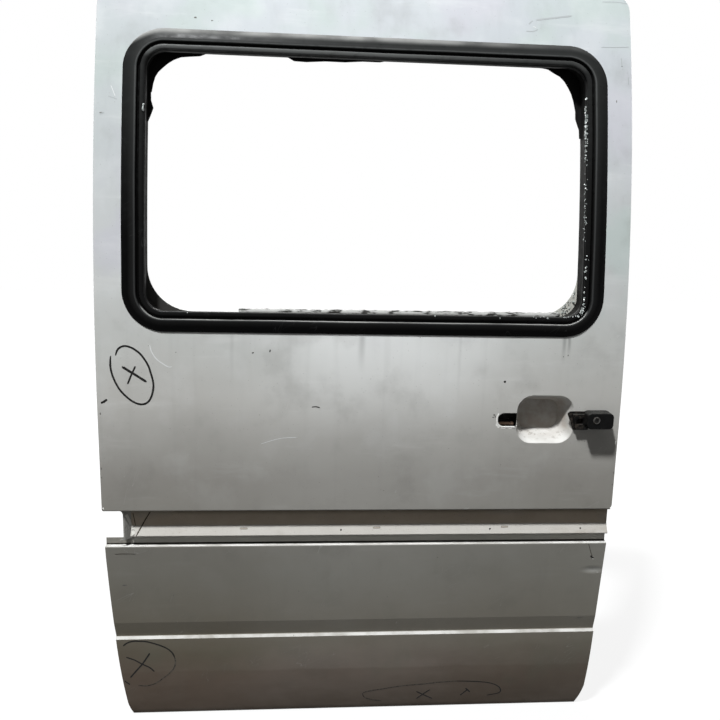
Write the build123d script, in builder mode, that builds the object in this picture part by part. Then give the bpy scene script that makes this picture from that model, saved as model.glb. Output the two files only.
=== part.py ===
"""Sliding side door of a panel van, taken off its rollers and stripped of glass and pull grip.

The door is seen from outside with the vehicle's front to the right. X runs forward, Y runs
inward and Z runs up. The origin lies on the flat face that takes the lower roller arm.
"""
import os
from math import asin, atan, cos, sin, sqrt

from build123d import *

os.makedirs("parts", exist_ok=True)

# Whole door: heights count from the bottom edge, depths inward from the belt plane.
DOOR_WIDTH = 1130.0
DOOR_HEIGHT = 1675.0
DOOR_DEPTH = 46.0
BARREL_RADIUS = 3400.0
BARREL_START = 740.0
TOP_CORNER = 42.0
REAR_TAPER = 19.0
REAR_TAPER_START = 430.0
REAR_FOOT = 10.0
REAR_FOOT_START = 36.0
FRONT_FOOT = 15.0
FRONT_FOOT_START = 105.0
BELT_CORNER_FRONT = 12.0
BELT_CORNER_REAR = 5.0
SKIN = 1.2
SEAM = 0.3
HEM_WIDTH = 12.0
HEM = 3.0

# Lower roller arm pad, which carries the frame.
PAD_FROM_FRONT = 150.0
PAD_HEIGHT = 95.0
PAD_DEPTH = 134.0
PAD_WIDTH = 124.0
PAD_TALL = 92.0
PLATE = 4.0
BOLT_RADIUS = 4.5
PAD_BOLTS_X = 80.0
PAD_BOLTS_Z = 50.0

# Outer skin between belt and sill.
UPPER_LOW = 543.0
FOLD = 10.0
LOWER_TOP = 458.5
LOWER_TOP_DEPTH = 10.3
SHOULDER = 12.0
FLANGE_TALL = 15.8
WAIST_HEIGHT = 262.0
WAIST_DEPTH = 33.0
VALLEY_HEIGHT = 225.0
VALLEY_DEPTH = 41.5
CREASE_HEIGHT = 219.0
CREASE_DEPTH = 36.0
TUCK_DEPTH = 78.0
TUCK_RADIUS = 1050.0
SILL_FLANGE = 15.0
DRILLED_FROM_FRONT = 27.0
DRILLED_HEIGHT = 418.0
DRILLED_RADIUS = 2.6

# Belt channel, open where the rub strip is missing.
CHANNEL_DEPTH = 18.5
LEDGE_HIGH = 503.0
LEDGE_LOW = 481.0
LEDGE_OUT = 7.0
LIP_ROOM = 3.0
NOTCH = 41.0
NOTCH_CORNER = 7.0
JAMB_EDGE = 4.0
JAMB_REACH = 15.0
JAMB_DEEP = 38.0
CLIP_LENGTH = 17.0
CLIP_TALL = 4.0
CLIP_PLACES = (-264.0, 32.0, 325.0)
STUD_RADIUS = 2.0
STUD_PLACES = (-48.0, 291.0, 502.0)

# Window and its rubber.
WINDOW_SHIFT = 1.0
SEAL_SIDE = 54.5
SEAL_LOW = 931.0
SEAL_BELOW_TOP = 121.5
SEAL_CORNER = 86.0
LIP = 28.5
LIP_PROUD = 11.5
SEAL_BAND = 47.0
APERTURE = 26.0
GLASS_GROOVE = 3.6
SEAL_HEEL = 42.3
REVEAL_SIDE = 41.7
REVEAL_LOW = 36.2
REVEAL_HIGH = 45.0
REVEAL_RISE = 0.24
REVEAL_CORNER = 44.0
REVEAL_FLANGE = 8.0
REVEAL_MARGIN = 60.0
INNER_CORNER = 95.0

# Handle bowl and grip pivot slot.
BOWL_FROM_FRONT = 168.4
BOWL_HEIGHT = 752.3
BOWL_WIDTH = 125.0
BOWL_TALL = 105.0
BOWL_CORNER = 34.0
BOWL_DEEP = 35.0
BOWL_RIM = 1.8
FLOOR_SHIFT = 6.0
FLOOR_RISE = 5.0
FLOOR_WIDTH = 91.0
FLOOR_TALL = 66.0
FLOOR_CORNER = 22.0
SLOT_FROM_FRONT = 253.0
SLOT_HEIGHT = 751.4
SLOT_LONG = 43.0
SLOT_TALL = 30.0
BOWL_REACH = 14.0
PIVOT_MARGIN = 12.0
PIVOT_THICK = 2.0

# Lock housing: a proud block on a low foot that took the grip's lug.
BLOCK_FROM_FRONT = 54.0
BLOCK_HEIGHT = 755.0
BLOCK_WIDTH = 61.0
BLOCK_TALL = 38.0
BLOCK_CORNER = 11.0
BLOCK_PROUD = 27.0
FOOT_REACH = 35.0
FOOT_SLANT = 15.0
FOOT_DROP = 4.5
FOOT_TALL = 42.0
FOOT_PROUD = 3.5
FOOT_CUT = 5.5
FOOT_STEP = 4.5
FOOT_FACE = 10.0
SOCKET_GAP = 1.5
SOCKET_WIDE = 16.0
SOCKET_TALL = 13.0
SOCKET_DEEP = 9.0
LOCK_FROM_FRONT = 63.8
LOCK_HEIGHT = 757.5
PLUG_RADIUS = 5.4
PLUG_FIT = 0.05
BARREL_OUTER = 11.0
BARREL_LONG = 24.0
RING_OUTER = 7.9
RING_PROUD = 1.5
CAM_GAP = 1.2
CAM_THICK = 4.0
CAM_REACH = 14.0
KEYWAY_WIDE = 1.6
KEYWAY_LONG = 6.6
KEYWAY_DEEP = 6.0

# Inner pressing and its walls.
REAR_INSET = 48.0
FRONT_INSET = 22.0
TOP_INSET = 18.0
SILL_INSET = 14.0
INNER_KNEE = 560.0
INNER_SILL_DEPTH = 112.0
SERVICE_LOW = 270.0
SERVICE_TALL = 190.0
SERVICE_WIDTH = 262.0
SERVICE_WEB = 68.0
BEAD_TALL = 26.0
BEAD_HIGH = 5.0
BEAD_SLOPE = 30.0
BEAD_BELOW_KNEE = 52.0
BEAD_ENDS = 70.0
BEAD_UPRIGHT = 90.0
WALL_HOLE_RADIUS = 11.0
WALL_HOLES = (800.0, 1180.0, 1420.0)
DRAIN_LONG = 36.0
DRAIN_TALL = 7.0
DRAIN_PITCH = 300.0
LIGHTENING_RADIUS = 24.0
LIGHTENING_PITCH = 190.0
LIGHTENING_HEIGHT = 150.0

# Stiffeners inside the box.
STIFFENER_HEIGHT = 880.0
HAT_TALL = 34.0
HAT_DEEP = 22.0
HAT_FLANGE = 15.0
BOND_GAP = 0.8
BEAM_HEIGHT = 350.0
BEAM_DEPTH = 39.4
BEAM_DEEP = 22.0
BEAM_TALL = 30.0
BEAM_WALL = 2.5

# Latches on the front and rear walls.
LATCH_DEPTH = 24.0
LATCH_WIDE = 30.0
LATCH_TALL = 120.0
LATCH_THICK = 3.0
MOUTH_LONG = 22.0
MOUTH_TALL = 16.0
CLAW_RADIUS = 13.5
CLAW_THICK = 6.0
FRONT_LATCH_HEIGHT = 650.0
REAR_LATCH_HEIGHT = 670.0

# Inner release handle.
CUP_FROM_FRONT = 170.0
CUP_RISE = 5.0
CUP_WIDE = 148.0
CUP_TALL = 84.0
CUP_CORNER = 18.0
CUP_THICK = 16.0
CUP_FLOOR = 3.0
CUP_RIM = 10.0
LEVER_TALL = 26.0
LEVER_THICK = 12.0

# Upper and centre roller arm seats.
UPPER_ARM_FROM_FRONT = 90.0
UPPER_ARM_BELOW_TOP = 69.0
UPPER_ARM_TALL = 64.0
UPPER_ARM_WIDE = 104.0
UPPER_ARM_STAND = 14.0
UPPER_ARM_BOLTS = 56.0
CENTRE_ARM_FROM_WALL = 80.0
CENTRE_ARM_WIDE = 124.0
CENTRE_ARM_TALL = 96.0
CENTRE_BOLTS_X = 84.0
CENTRE_BOLTS_Z = 54.0
BOLT_ROOM = 1.0

# Places derived from the sizes above.
FRONT = PAD_FROM_FRONT
REAR = FRONT - DOOR_WIDTH
MIDDLE = (FRONT + REAR) / 2
WINDOW_X = MIDDLE + WINDOW_SHIFT
REAR_WALL = REAR + REAR_INSET
FRONT_WALL = FRONT - FRONT_INSET
WALL_SPAN = FRONT_WALL - REAR_WALL
SKIN_BACK = SKIN + SEAM
SLOPED_BACK = 1.07 * SKIN_BACK
SEAL_WIDTH = DOOR_WIDTH - 2 * SEAL_SIDE
SEAL_HIGH = DOOR_HEIGHT - SEAL_BELOW_TOP
FLANGE_DEPTH = LOWER_TOP_DEPTH + SHOULDER
FLANGE_TOP = LOWER_TOP + FLANGE_TALL
CHANNEL_FOOT = FLANGE_DEPTH + SKIN_BACK
CHANNEL_START = REAR + NOTCH + JAMB_REACH + SEAM
BELT_BACK = CHANNEL_FOOT + SKIN_BACK + LIP_ROOM
BOWL_X = FRONT - BOWL_FROM_FRONT
SLOT_X = FRONT - SLOT_FROM_FRONT
BLOCK_X = FRONT - BLOCK_FROM_FRONT
LOCK_X = FRONT - LOCK_FROM_FRONT
CUP_X = FRONT - CUP_FROM_FRONT
FLAT_MIDDLE = (INNER_KNEE + BARREL_START) / 2
CUP_HEIGHT = FLAT_MIDDLE + CUP_RISE
UPPER_ARM_X = FRONT - UPPER_ARM_FROM_FRONT
UPPER_ARM_HEIGHT = DOOR_HEIGHT - UPPER_ARM_BELOW_TOP
CENTRE_ARM_X = REAR_WALL + CENTRE_ARM_FROM_WALL
CENTRE_ARM_HEIGHT = FLAT_MIDDLE
SERVICE_PITCH = SERVICE_WIDTH + SERVICE_WEB
SERVICE_HEIGHT = SERVICE_LOW + SERVICE_TALL / 2
INNER_SLOPE = atan((INNER_SILL_DEPTH - DOOR_DEPTH) / (INNER_KNEE - SILL_INSET))
LOW_ANGLE = asin((SEAL_LOW + SEAL_CORNER - BARREL_START) / BARREL_RADIUS)
HIGH_ANGLE = asin((SEAL_HIGH - 0.977 * SEAL_CORNER - BARREL_START) / BARREL_RADIUS)
WINDOW_ANGLE = (LOW_ANGLE + HIGH_ANGLE) / 2
STAND_OFF = SEAL_CORNER * SEAL_CORNER / (2 * BARREL_RADIUS)
REVEAL_BACK = SKIN_BACK + STAND_OFF


def at(depth, height):
    """Depth and height in a lengthwise section of the door."""
    return (depth - PAD_DEPTH, height - PAD_HEIGHT)


def barrel(height, inward=0.0):
    """Depth of the leaning upper part at a height, moved in from the outer face."""
    radius = BARREL_RADIUS - inward
    if height <= BARREL_START:
        return inward
    return BARREL_RADIUS - sqrt(radius * radius - (height - BARREL_START) ** 2)


def waist(height):
    """Depth of the straight face between belt channel and waist."""
    fall = (LOWER_TOP - height) / (LOWER_TOP - WAIST_HEIGHT)
    return LOWER_TOP_DEPTH + (WAIST_DEPTH - LOWER_TOP_DEPTH) * fall


def tuck(height):
    """Depth of the tucked sill face, an arc from the bottom edge to the crease."""
    chord = sqrt((TUCK_DEPTH - CREASE_DEPTH) ** 2 + CREASE_HEIGHT**2)
    reach = sqrt(TUCK_RADIUS**2 - chord**2 / 4) / chord
    centre_depth = (TUCK_DEPTH + CREASE_DEPTH) / 2 + reach * CREASE_HEIGHT
    centre_height = CREASE_HEIGHT / 2 + reach * (TUCK_DEPTH - CREASE_DEPTH)
    return centre_depth - sqrt(TUCK_RADIUS**2 - (height - centre_height) ** 2)


def inner_depth(height):
    """Depth of the lower inner pressing's outer face."""
    if height >= INNER_KNEE:
        return DOOR_DEPTH
    fall = (INNER_KNEE - height) / (INNER_KNEE - SILL_INSET)
    return DOOR_DEPTH + (INNER_SILL_DEPTH - DOOR_DEPTH) * fall


def on_barrel(x, angle, along=0.0, lift=0.0):
    """Point on the leaning face, moved along its slope and lifted off it."""
    radius = BARREL_RADIUS + lift
    depth = BARREL_RADIUS - radius * cos(angle) + along * sin(angle)
    height = BARREL_START + radius * sin(angle) + along * cos(angle)
    return (x, depth - PAD_DEPTH, height - PAD_HEIGHT)


def window_loop(inset):
    """Closed path round the window, set in from the rubber's outer edge."""
    turn = SEAL_CORNER - inset
    half = SEAL_WIDTH / 2 - inset
    near = half - turn
    part = turn * sqrt(0.5)
    mean = (LOW_ANGLE + HIGH_ANGLE) / 2
    left = WINDOW_X - half
    right = WINDOW_X + half
    with BuildLine() as loop:
        Line(on_barrel(WINDOW_X - near, LOW_ANGLE, -turn), on_barrel(WINDOW_X + near, LOW_ANGLE, -turn))
        ThreePointArc(
            on_barrel(WINDOW_X + near, LOW_ANGLE, -turn),
            on_barrel(WINDOW_X + near + part, LOW_ANGLE, -part),
            on_barrel(right, LOW_ANGLE),
        )
        ThreePointArc(on_barrel(right, LOW_ANGLE), on_barrel(right, mean), on_barrel(right, HIGH_ANGLE))
        ThreePointArc(
            on_barrel(right, HIGH_ANGLE),
            on_barrel(WINDOW_X + near + part, HIGH_ANGLE, part),
            on_barrel(WINDOW_X + near, HIGH_ANGLE, turn),
        )
        Line(on_barrel(WINDOW_X + near, HIGH_ANGLE, turn), on_barrel(WINDOW_X - near, HIGH_ANGLE, turn))
        ThreePointArc(
            on_barrel(WINDOW_X - near, HIGH_ANGLE, turn),
            on_barrel(WINDOW_X - near - part, HIGH_ANGLE, part),
            on_barrel(left, HIGH_ANGLE),
        )
        ThreePointArc(on_barrel(left, HIGH_ANGLE), on_barrel(left, mean), on_barrel(left, LOW_ANGLE))
        ThreePointArc(
            on_barrel(left, LOW_ANGLE),
            on_barrel(WINDOW_X - near - part, LOW_ANGLE, -part),
            on_barrel(WINDOW_X - near, LOW_ANGLE, -turn),
        )
    return loop.wire()


def window_section(inset):
    """Plane across the path's start: first axis into the window, second axis outward."""
    turn = SEAL_CORNER - inset
    half = SEAL_WIDTH / 2 - inset
    return Plane(
        origin=on_barrel(WINDOW_X - half + turn, LOW_ANGLE, -turn),
        x_dir=(0, sin(LOW_ANGLE), cos(LOW_ANGLE)),
        z_dir=(1, 0, 0),
    )


def window_plane():
    """Flat plane through the middle of the window, facing outward."""
    return Plane(
        origin=on_barrel(WINDOW_X, WINDOW_ANGLE),
        x_dir=(1, 0, 0),
        z_dir=(0, -cos(WINDOW_ANGLE), sin(WINDOW_ANGLE)),
    )


def belt_plane(x, height, depth=0.0):
    """Upright plane facing outward at a place on the door."""
    return Plane(origin=(x, depth - PAD_DEPTH, height - PAD_HEIGHT), x_dir=(1, 0, 0), z_dir=(0, -1, 0))


def skin_plane(x, height, depth=0.0):
    """Plane that touches the upper skin at a place, moved inward, facing outward."""
    lean = asin(max(height - BARREL_START, 0.0) / BARREL_RADIUS)
    origin = on_barrel(x, lean, min(height - BARREL_START, 0.0), -depth)
    return Plane(origin=origin, x_dir=(1, 0, 0), z_dir=(0, -cos(lean), sin(lean)))


def inner_plane(x, height, depth):
    """Upright plane facing inward at a place on the door."""
    return Plane(origin=(x, depth - PAD_DEPTH, height - PAD_HEIGHT), x_dir=(-1, 0, 0), z_dir=(0, 1, 0))


def reveal_way():
    """Direction of the reveal's sleeve: into the door and a little up."""
    inward = (cos(WINDOW_ANGLE), -sin(WINDOW_ANGLE))
    upward = (sin(WINDOW_ANGLE), cos(WINDOW_ANGLE))
    return Vector(0, *(a + REVEAL_RISE * b for a, b in zip(inward, upward))).normalized()


def sleeve(wall, corner, mode=Mode.ADD):
    """Outline of the reveal's sleeve, grown by a wall thickness."""
    width = SEAL_WIDTH - 2 * REVEAL_SIDE + 2 * wall
    tall = WINDOW_RUN - REVEAL_LOW - REVEAL_HIGH + 2 * wall
    return RectangleRounded(width, tall, corner + wall, mode=mode)


WINDOW_RUN = BARREL_RADIUS * (HIGH_ANGLE - LOW_ANGLE) + 2 * SEAL_CORNER

# Outline of the whole door seen from outside, with rounded top corners and tucked lower edges.
with BuildSketch(Plane.XZ) as door_outline:
    with BuildLine():
        foot = -PAD_HEIGHT
        low = foot - 20
        high = foot + DOOR_HEIGHT
        front_foot = FRONT - FRONT_FOOT
        front_turn = foot + FRONT_FOOT_START
        rear_side = REAR + REAR_TAPER
        rear_foot = rear_side + REAR_FOOT
        rear_turn = foot + REAR_FOOT_START
        rear_start = foot + REAR_TAPER_START
        Line((rear_foot, low), (front_foot, low))
        Line((front_foot, low), (front_foot, foot))
        ThreePointArc(
            (front_foot, foot),
            (FRONT - FRONT_FOOT / 4, foot + FRONT_FOOT_START / 3),
            (FRONT, front_turn),
        )
        Line((FRONT, front_turn), (FRONT, high - TOP_CORNER))
        RadiusArc((FRONT, high - TOP_CORNER), (FRONT - TOP_CORNER, high), -TOP_CORNER)
        Line((FRONT - TOP_CORNER, high), (REAR + TOP_CORNER, high))
        RadiusArc((REAR + TOP_CORNER, high), (REAR, high - TOP_CORNER), -TOP_CORNER)
        Line((REAR, high - TOP_CORNER), (REAR, rear_start))
        ThreePointArc(
            (REAR, rear_start),
            (REAR + REAR_TAPER / 3, foot + (REAR_TAPER_START + REAR_FOOT_START) / 2),
            (rear_side, rear_turn),
        )
        ThreePointArc(
            (rear_side, rear_turn),
            (rear_side + REAR_FOOT / 3, foot + REAR_FOOT_START / 2),
            (rear_foot, foot),
        )
        Line((rear_foot, foot), (rear_foot, low))
    make_face()


def slope_plane(x, height):
    """Plane on the outer face of the sloping inner pressing, facing inward."""
    return Plane(
        origin=(x, inner_depth(height) - PAD_DEPTH, height - PAD_HEIGHT),
        x_dir=(-1, 0, 0),
        z_dir=(0, cos(INNER_SLOPE), sin(INNER_SLOPE)),
    )


def upper_line():
    """Outer face of the upper skin from the belt fold to the top fold."""
    with BuildLine() as line:
        FilletPolyline(
            at(FOLD, UPPER_LOW),
            at(0, UPPER_LOW),
            at(0, BARREL_START),
            radius=3,
        )
        middle = (BARREL_START + DOOR_HEIGHT) / 2
        ThreePointArc(
            at(0, BARREL_START),
            at(barrel(middle), middle),
            at(barrel(DOOR_HEIGHT), DOOR_HEIGHT),
        )
        Line(at(barrel(DOOR_HEIGHT), DOOR_HEIGHT), at(barrel(DOOR_HEIGHT) + FOLD, DOOR_HEIGHT - 2))
    return line.wire()


def lower_line():
    """Outer face of the lower skin from the sill fold up to the belt fold."""
    with BuildLine() as line:
        Line(at(TUCK_DEPTH + SILL_FLANGE, 2), at(TUCK_DEPTH, 0))
        RadiusArc(at(TUCK_DEPTH, 0), at(CREASE_DEPTH, CREASE_HEIGHT), TUCK_RADIUS)
        FilletPolyline(
            at(CREASE_DEPTH, CREASE_HEIGHT),
            at(VALLEY_DEPTH, VALLEY_HEIGHT),
            at(WAIST_DEPTH, WAIST_HEIGHT),
            at(LOWER_TOP_DEPTH, LOWER_TOP),
            at(FLANGE_DEPTH, LOWER_TOP),
            at(FLANGE_DEPTH, FLANGE_TOP),
            radius=3.2,
        )
    return line.wire()


def lower_edge_line():
    """Outer face of the lower skin's hemmed side edges, from sill to shoulder."""
    with BuildLine() as line:
        RadiusArc(at(TUCK_DEPTH, 0), at(CREASE_DEPTH, CREASE_HEIGHT), TUCK_RADIUS)
        FilletPolyline(
            at(CREASE_DEPTH, CREASE_HEIGHT),
            at(VALLEY_DEPTH, VALLEY_HEIGHT),
            at(WAIST_DEPTH, WAIST_HEIGHT),
            at(waist(LOWER_TOP - HEM_WIDTH), LOWER_TOP - HEM_WIDTH),
            radius=3.2,
        )
    return line.wire()


def channel_line():
    """Face of the belt channel from its foot flange up to its roof flange."""
    with BuildLine() as line:
        FilletPolyline(
            at(CHANNEL_FOOT, LOWER_TOP - FOLD),
            at(CHANNEL_FOOT, FLANGE_TOP + LIP_ROOM),
            at(LEDGE_OUT, LEDGE_LOW),
            at(CHANNEL_DEPTH, LEDGE_HIGH),
            at(CHANNEL_DEPTH, UPPER_LOW - SKIN_BACK),
            at(4.0, UPPER_LOW - SKIN_BACK),
            radius=2.5,
        )
    return line.wire()


def belt_corner(x, radius, side):
    """Corner of the upper skin's lower edge that its rounding takes away."""
    with BuildSketch(Plane.XZ.offset(PAD_DEPTH)) as corner:
        with Locations((x + side * radius / 2, UPPER_LOW - PAD_HEIGHT + radius / 2)):
            Rectangle(radius, radius)
        with Locations((x + side * radius, UPPER_LOW - PAD_HEIGHT + radius)):
            Circle(radius, mode=Mode.SUBTRACT)
    return corner.sketch


def bowl_mouth(grown):
    """Outline of the handle bowl at the skin, grown all round."""
    return RectangleRounded(BOWL_WIDTH + 2 * grown, BOWL_TALL + 2 * grown, BOWL_CORNER + grown)


def bowl_floor(grown):
    """Outline of the handle bowl's floor, grown all round."""
    with Locations((-FLOOR_SHIFT, FLOOR_RISE)):
        return RectangleRounded(FLOOR_WIDTH + 2 * grown, FLOOR_TALL + 2 * grown, FLOOR_CORNER + grown)


# Upper outer skin with window hole, pressed handle bowl and hemmed edges.
with BuildPart() as upper_outer_panel:
    with BuildSketch(Plane.YZ.offset(REAR)):
        with BuildLine():
            add(upper_line())
            offset(amount=SKIN, side=Side.RIGHT)
        make_face()
    extrude(amount=DOOR_WIDTH)
    for edge in (REAR, FRONT - HEM_WIDTH):
        with BuildSketch(Plane.YZ.offset(edge)):
            with BuildLine():
                add(upper_line())
                offset(amount=HEM, side=Side.RIGHT)
            make_face()
        extrude(amount=HEM_WIDTH)
    extrude(door_outline.sketch, amount=400, both=True, mode=Mode.INTERSECT)
    with BuildSketch(window_plane()):
        RectangleRounded(SEAL_WIDTH - 2 * APERTURE, WINDOW_RUN - 2 * APERTURE, SEAL_CORNER - APERTURE)
    extrude(amount=60, both=True, mode=Mode.SUBTRACT)
    with BuildSketch(skin_plane(BOWL_X, BOWL_HEIGHT, SKIN * 0.8)):
        bowl_mouth(SKIN + BOWL_RIM)
    with BuildSketch(skin_plane(BOWL_X, BOWL_HEIGHT, SKIN * 0.8 + BOWL_RIM)):
        bowl_mouth(SKIN)
    with BuildSketch(skin_plane(BOWL_X, BOWL_HEIGHT, BOWL_DEEP + SKIN)):
        bowl_floor(SKIN)
    loft(ruled=True)
    with BuildSketch(skin_plane(BOWL_X, BOWL_HEIGHT, -BOWL_RIM)):
        bowl_mouth(2 * BOWL_RIM)
    with BuildSketch(skin_plane(BOWL_X, BOWL_HEIGHT, BOWL_RIM)):
        bowl_mouth(0)
    with BuildSketch(skin_plane(BOWL_X, BOWL_HEIGHT, BOWL_DEEP)):
        bowl_floor(0)
    loft(ruled=True, mode=Mode.SUBTRACT)
    with BuildSketch(belt_plane(SLOT_X + BOWL_REACH / 2, SLOT_HEIGHT)):
        SlotOverall(SLOT_LONG + BOWL_REACH, SLOT_TALL)
    extrude(amount=8, both=True, mode=Mode.SUBTRACT)
    with BuildSketch(belt_plane(LOCK_X, LOCK_HEIGHT)):
        Circle(BARREL_OUTER + 0.5)
    extrude(amount=8, both=True, mode=Mode.SUBTRACT)
    extrude(belt_corner(FRONT, BELT_CORNER_FRONT, -1), amount=60, both=True, mode=Mode.SUBTRACT)
    extrude(belt_corner(REAR, BELT_CORNER_REAR, 1), amount=60, both=True, mode=Mode.SUBTRACT)
upper_outer_panel.part.label = "upper_outer_panel"
export_step(upper_outer_panel.part, "parts/upper_outer_panel.step")

# Lower outer skin: waist, valley, crease and tucked sill, and one drilled hole near the front edge.
with BuildPart() as lower_outer_panel:
    with BuildSketch(Plane.YZ.offset(REAR)):
        with BuildLine():
            add(lower_line())
            offset(amount=SKIN, side=Side.RIGHT)
        make_face()
    extrude(amount=DOOR_WIDTH)
    for edge, width in ((REAR, HEM_WIDTH + REAR_TAPER + REAR_FOOT), (FRONT - HEM_WIDTH, HEM_WIDTH)):
        with BuildSketch(Plane.YZ.offset(edge)):
            with BuildLine():
                add(lower_edge_line())
                offset(amount=HEM, side=Side.RIGHT)
            make_face()
        extrude(amount=width)
    extrude(door_outline.sketch, amount=400, both=True, mode=Mode.INTERSECT)
    with BuildSketch(belt_plane(FRONT - DRILLED_FROM_FRONT, DRILLED_HEIGHT)):
        Circle(DRILLED_RADIUS)
    extrude(amount=-FLANGE_DEPTH, mode=Mode.SUBTRACT)
lower_outer_panel.part.label = "lower_outer_panel"
export_step(lower_outer_panel.part, "parts/lower_outer_panel.step")

# Belt channel with clip slots, stopped short of the rear edge for the centre roller arm.
with BuildPart() as belt_channel:
    with BuildSketch(Plane.YZ.offset(CHANNEL_START)):
        with BuildLine():
            add(channel_line())
            offset(amount=SKIN, side=Side.RIGHT)
        make_face()
    extrude(amount=FRONT - CHANNEL_START - SEAM)
    for place in CLIP_PLACES:
        with BuildSketch(belt_plane(MIDDLE + place, (LEDGE_LOW + LEDGE_HIGH) / 2 + 4)):
            SlotOverall(CLIP_LENGTH, CLIP_TALL)
        extrude(amount=21, both=True, mode=Mode.SUBTRACT)
    for place in STUD_PLACES:
        with BuildSketch(belt_plane(MIDDLE + place, (LEDGE_LOW + LEDGE_HIGH) / 2)):
            Circle(STUD_RADIUS)
        extrude(amount=21, both=True, mode=Mode.SUBTRACT)
belt_channel.part.label = "belt_channel"
export_step(belt_channel.part, "parts/belt_channel.step")

# Window rubber: proud outer lip, open locking groove, low inner lip and glass groove.
with BuildPart() as window_seal:
    with BuildSketch(window_section(0)):
        with BuildLine():
            Line((0, SEAM), (0, 1.4))
            ThreePointArc((0, 1.4), (10, LIP_PROUD - 2), (LIP - 5, LIP_PROUD))
            ThreePointArc((LIP - 5, LIP_PROUD), (LIP - 1.3, LIP_PROUD - 0.9), (LIP, LIP_PROUD - 3.5))
            Line((LIP, LIP_PROUD - 3.5), (LIP, 3.6))
            Line((LIP, 3.6), (LIP + 7, 3.6))
            Line((LIP + 7, 3.6), (LIP + 7, 6.6))
            ThreePointArc((LIP + 7, 6.6), (LIP + 12.5, 7.8), (SEAL_BAND, 5.6))
            Line((SEAL_BAND, 5.6), (SEAL_BAND, 0.6 + GLASS_GROOVE))
            Line((SEAL_BAND, 0.6 + GLASS_GROOVE), (SEAL_BAND - 8.5, 0.6 + GLASS_GROOVE))
            Line((SEAL_BAND - 8.5, 0.6 + GLASS_GROOVE), (SEAL_BAND - 8.5, 0.6))
            Line((SEAL_BAND - 8.5, 0.6), (SEAL_BAND, 0.6))
            Line((SEAL_BAND, 0.6), (SEAL_BAND, -7))
            Line((SEAL_BAND, -7), (SEAL_HEEL, -9))
            Line((SEAL_HEEL, -9), (SEAL_HEEL, -SKIN))
            Line((SEAL_HEEL, -SKIN), (APERTURE + SEAM, -SKIN))
            Line((APERTURE + SEAM, -SKIN), (APERTURE + SEAM, SEAM))
            Line((APERTURE + SEAM, SEAM), (0, SEAM))
        make_face()
    sweep(path=window_loop(0))
window_seal.part.label = "window_seal"
export_step(window_seal.part, "parts/window_seal.step")

# Window reveal: sleeve from the outer skin to the inner pressing, rising inward, with a bonding flange.
with BuildPart() as window_reveal:
    with BuildSketch(window_plane()):
        with Locations((0, (REVEAL_LOW - REVEAL_HIGH) / 2)):
            sleeve(SKIN, REVEAL_CORNER)
            sleeve(0, REVEAL_CORNER, mode=Mode.SUBTRACT)
    extrude(amount=80, dir=reveal_way(), both=True)
    with BuildSketch(Plane.YZ.offset(REAR)):
        with BuildLine():
            low, high = SEAL_LOW - REVEAL_MARGIN, SEAL_HIGH + REVEAL_MARGIN
            outer, inner = REVEAL_BACK, DOOR_DEPTH - SEAM
            mean = (low + high) / 2
            ThreePointArc(*(at(barrel(height, outer), height) for height in (low, mean, high)))
            Line(at(barrel(high, outer), high), at(barrel(high, inner), high))
            ThreePointArc(*(at(barrel(height, inner), height) for height in (high, mean, low)))
            Line(at(barrel(low, inner), low), at(barrel(low, outer), low))
        make_face()
    extrude(amount=DOOR_WIDTH, mode=Mode.INTERSECT)
    with BuildSketch(window_section(0)):
        with Locations(((REVEAL_FLANGE + REVEAL_SIDE - SKIN / 2) / 2, -REVEAL_BACK - SKIN / 2)):
            Rectangle(REVEAL_SIDE - SKIN / 2 - REVEAL_FLANGE, SKIN)
    sweep(path=window_loop(0))
window_reveal.part.label = "window_reveal"
export_step(window_reveal.part, "parts/window_reveal.step")

# Upper inner pressing round the window.
with BuildPart() as inner_upper_panel:
    with BuildSketch(Plane.YZ.offset(REAR_WALL - SKIN)):
        with BuildLine():
            top = DOOR_HEIGHT - TOP_INSET
            middle = (BARREL_START + top) / 2
            ThreePointArc(
                at(barrel(BARREL_START, DOOR_DEPTH), BARREL_START),
                at(barrel(middle, DOOR_DEPTH), middle),
                at(barrel(top, DOOR_DEPTH), top),
            )
            offset(amount=SKIN, side=Side.RIGHT)
        make_face()
    extrude(amount=WALL_SPAN + 2 * SKIN)
    with BuildSketch(window_plane()):
        with Locations((0, (REVEAL_LOW - REVEAL_HIGH) / 2)):
            tall = WINDOW_RUN - REVEAL_LOW - REVEAL_HIGH
            RectangleRounded(SEAL_WIDTH - 2 * REVEAL_SIDE, tall, INNER_CORNER)
    extrude(amount=120, dir=reveal_way(), both=True, mode=Mode.SUBTRACT)
inner_upper_panel.part.label = "inner_upper_panel"
export_step(inner_upper_panel.part, "parts/inner_upper_panel.step")

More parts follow.
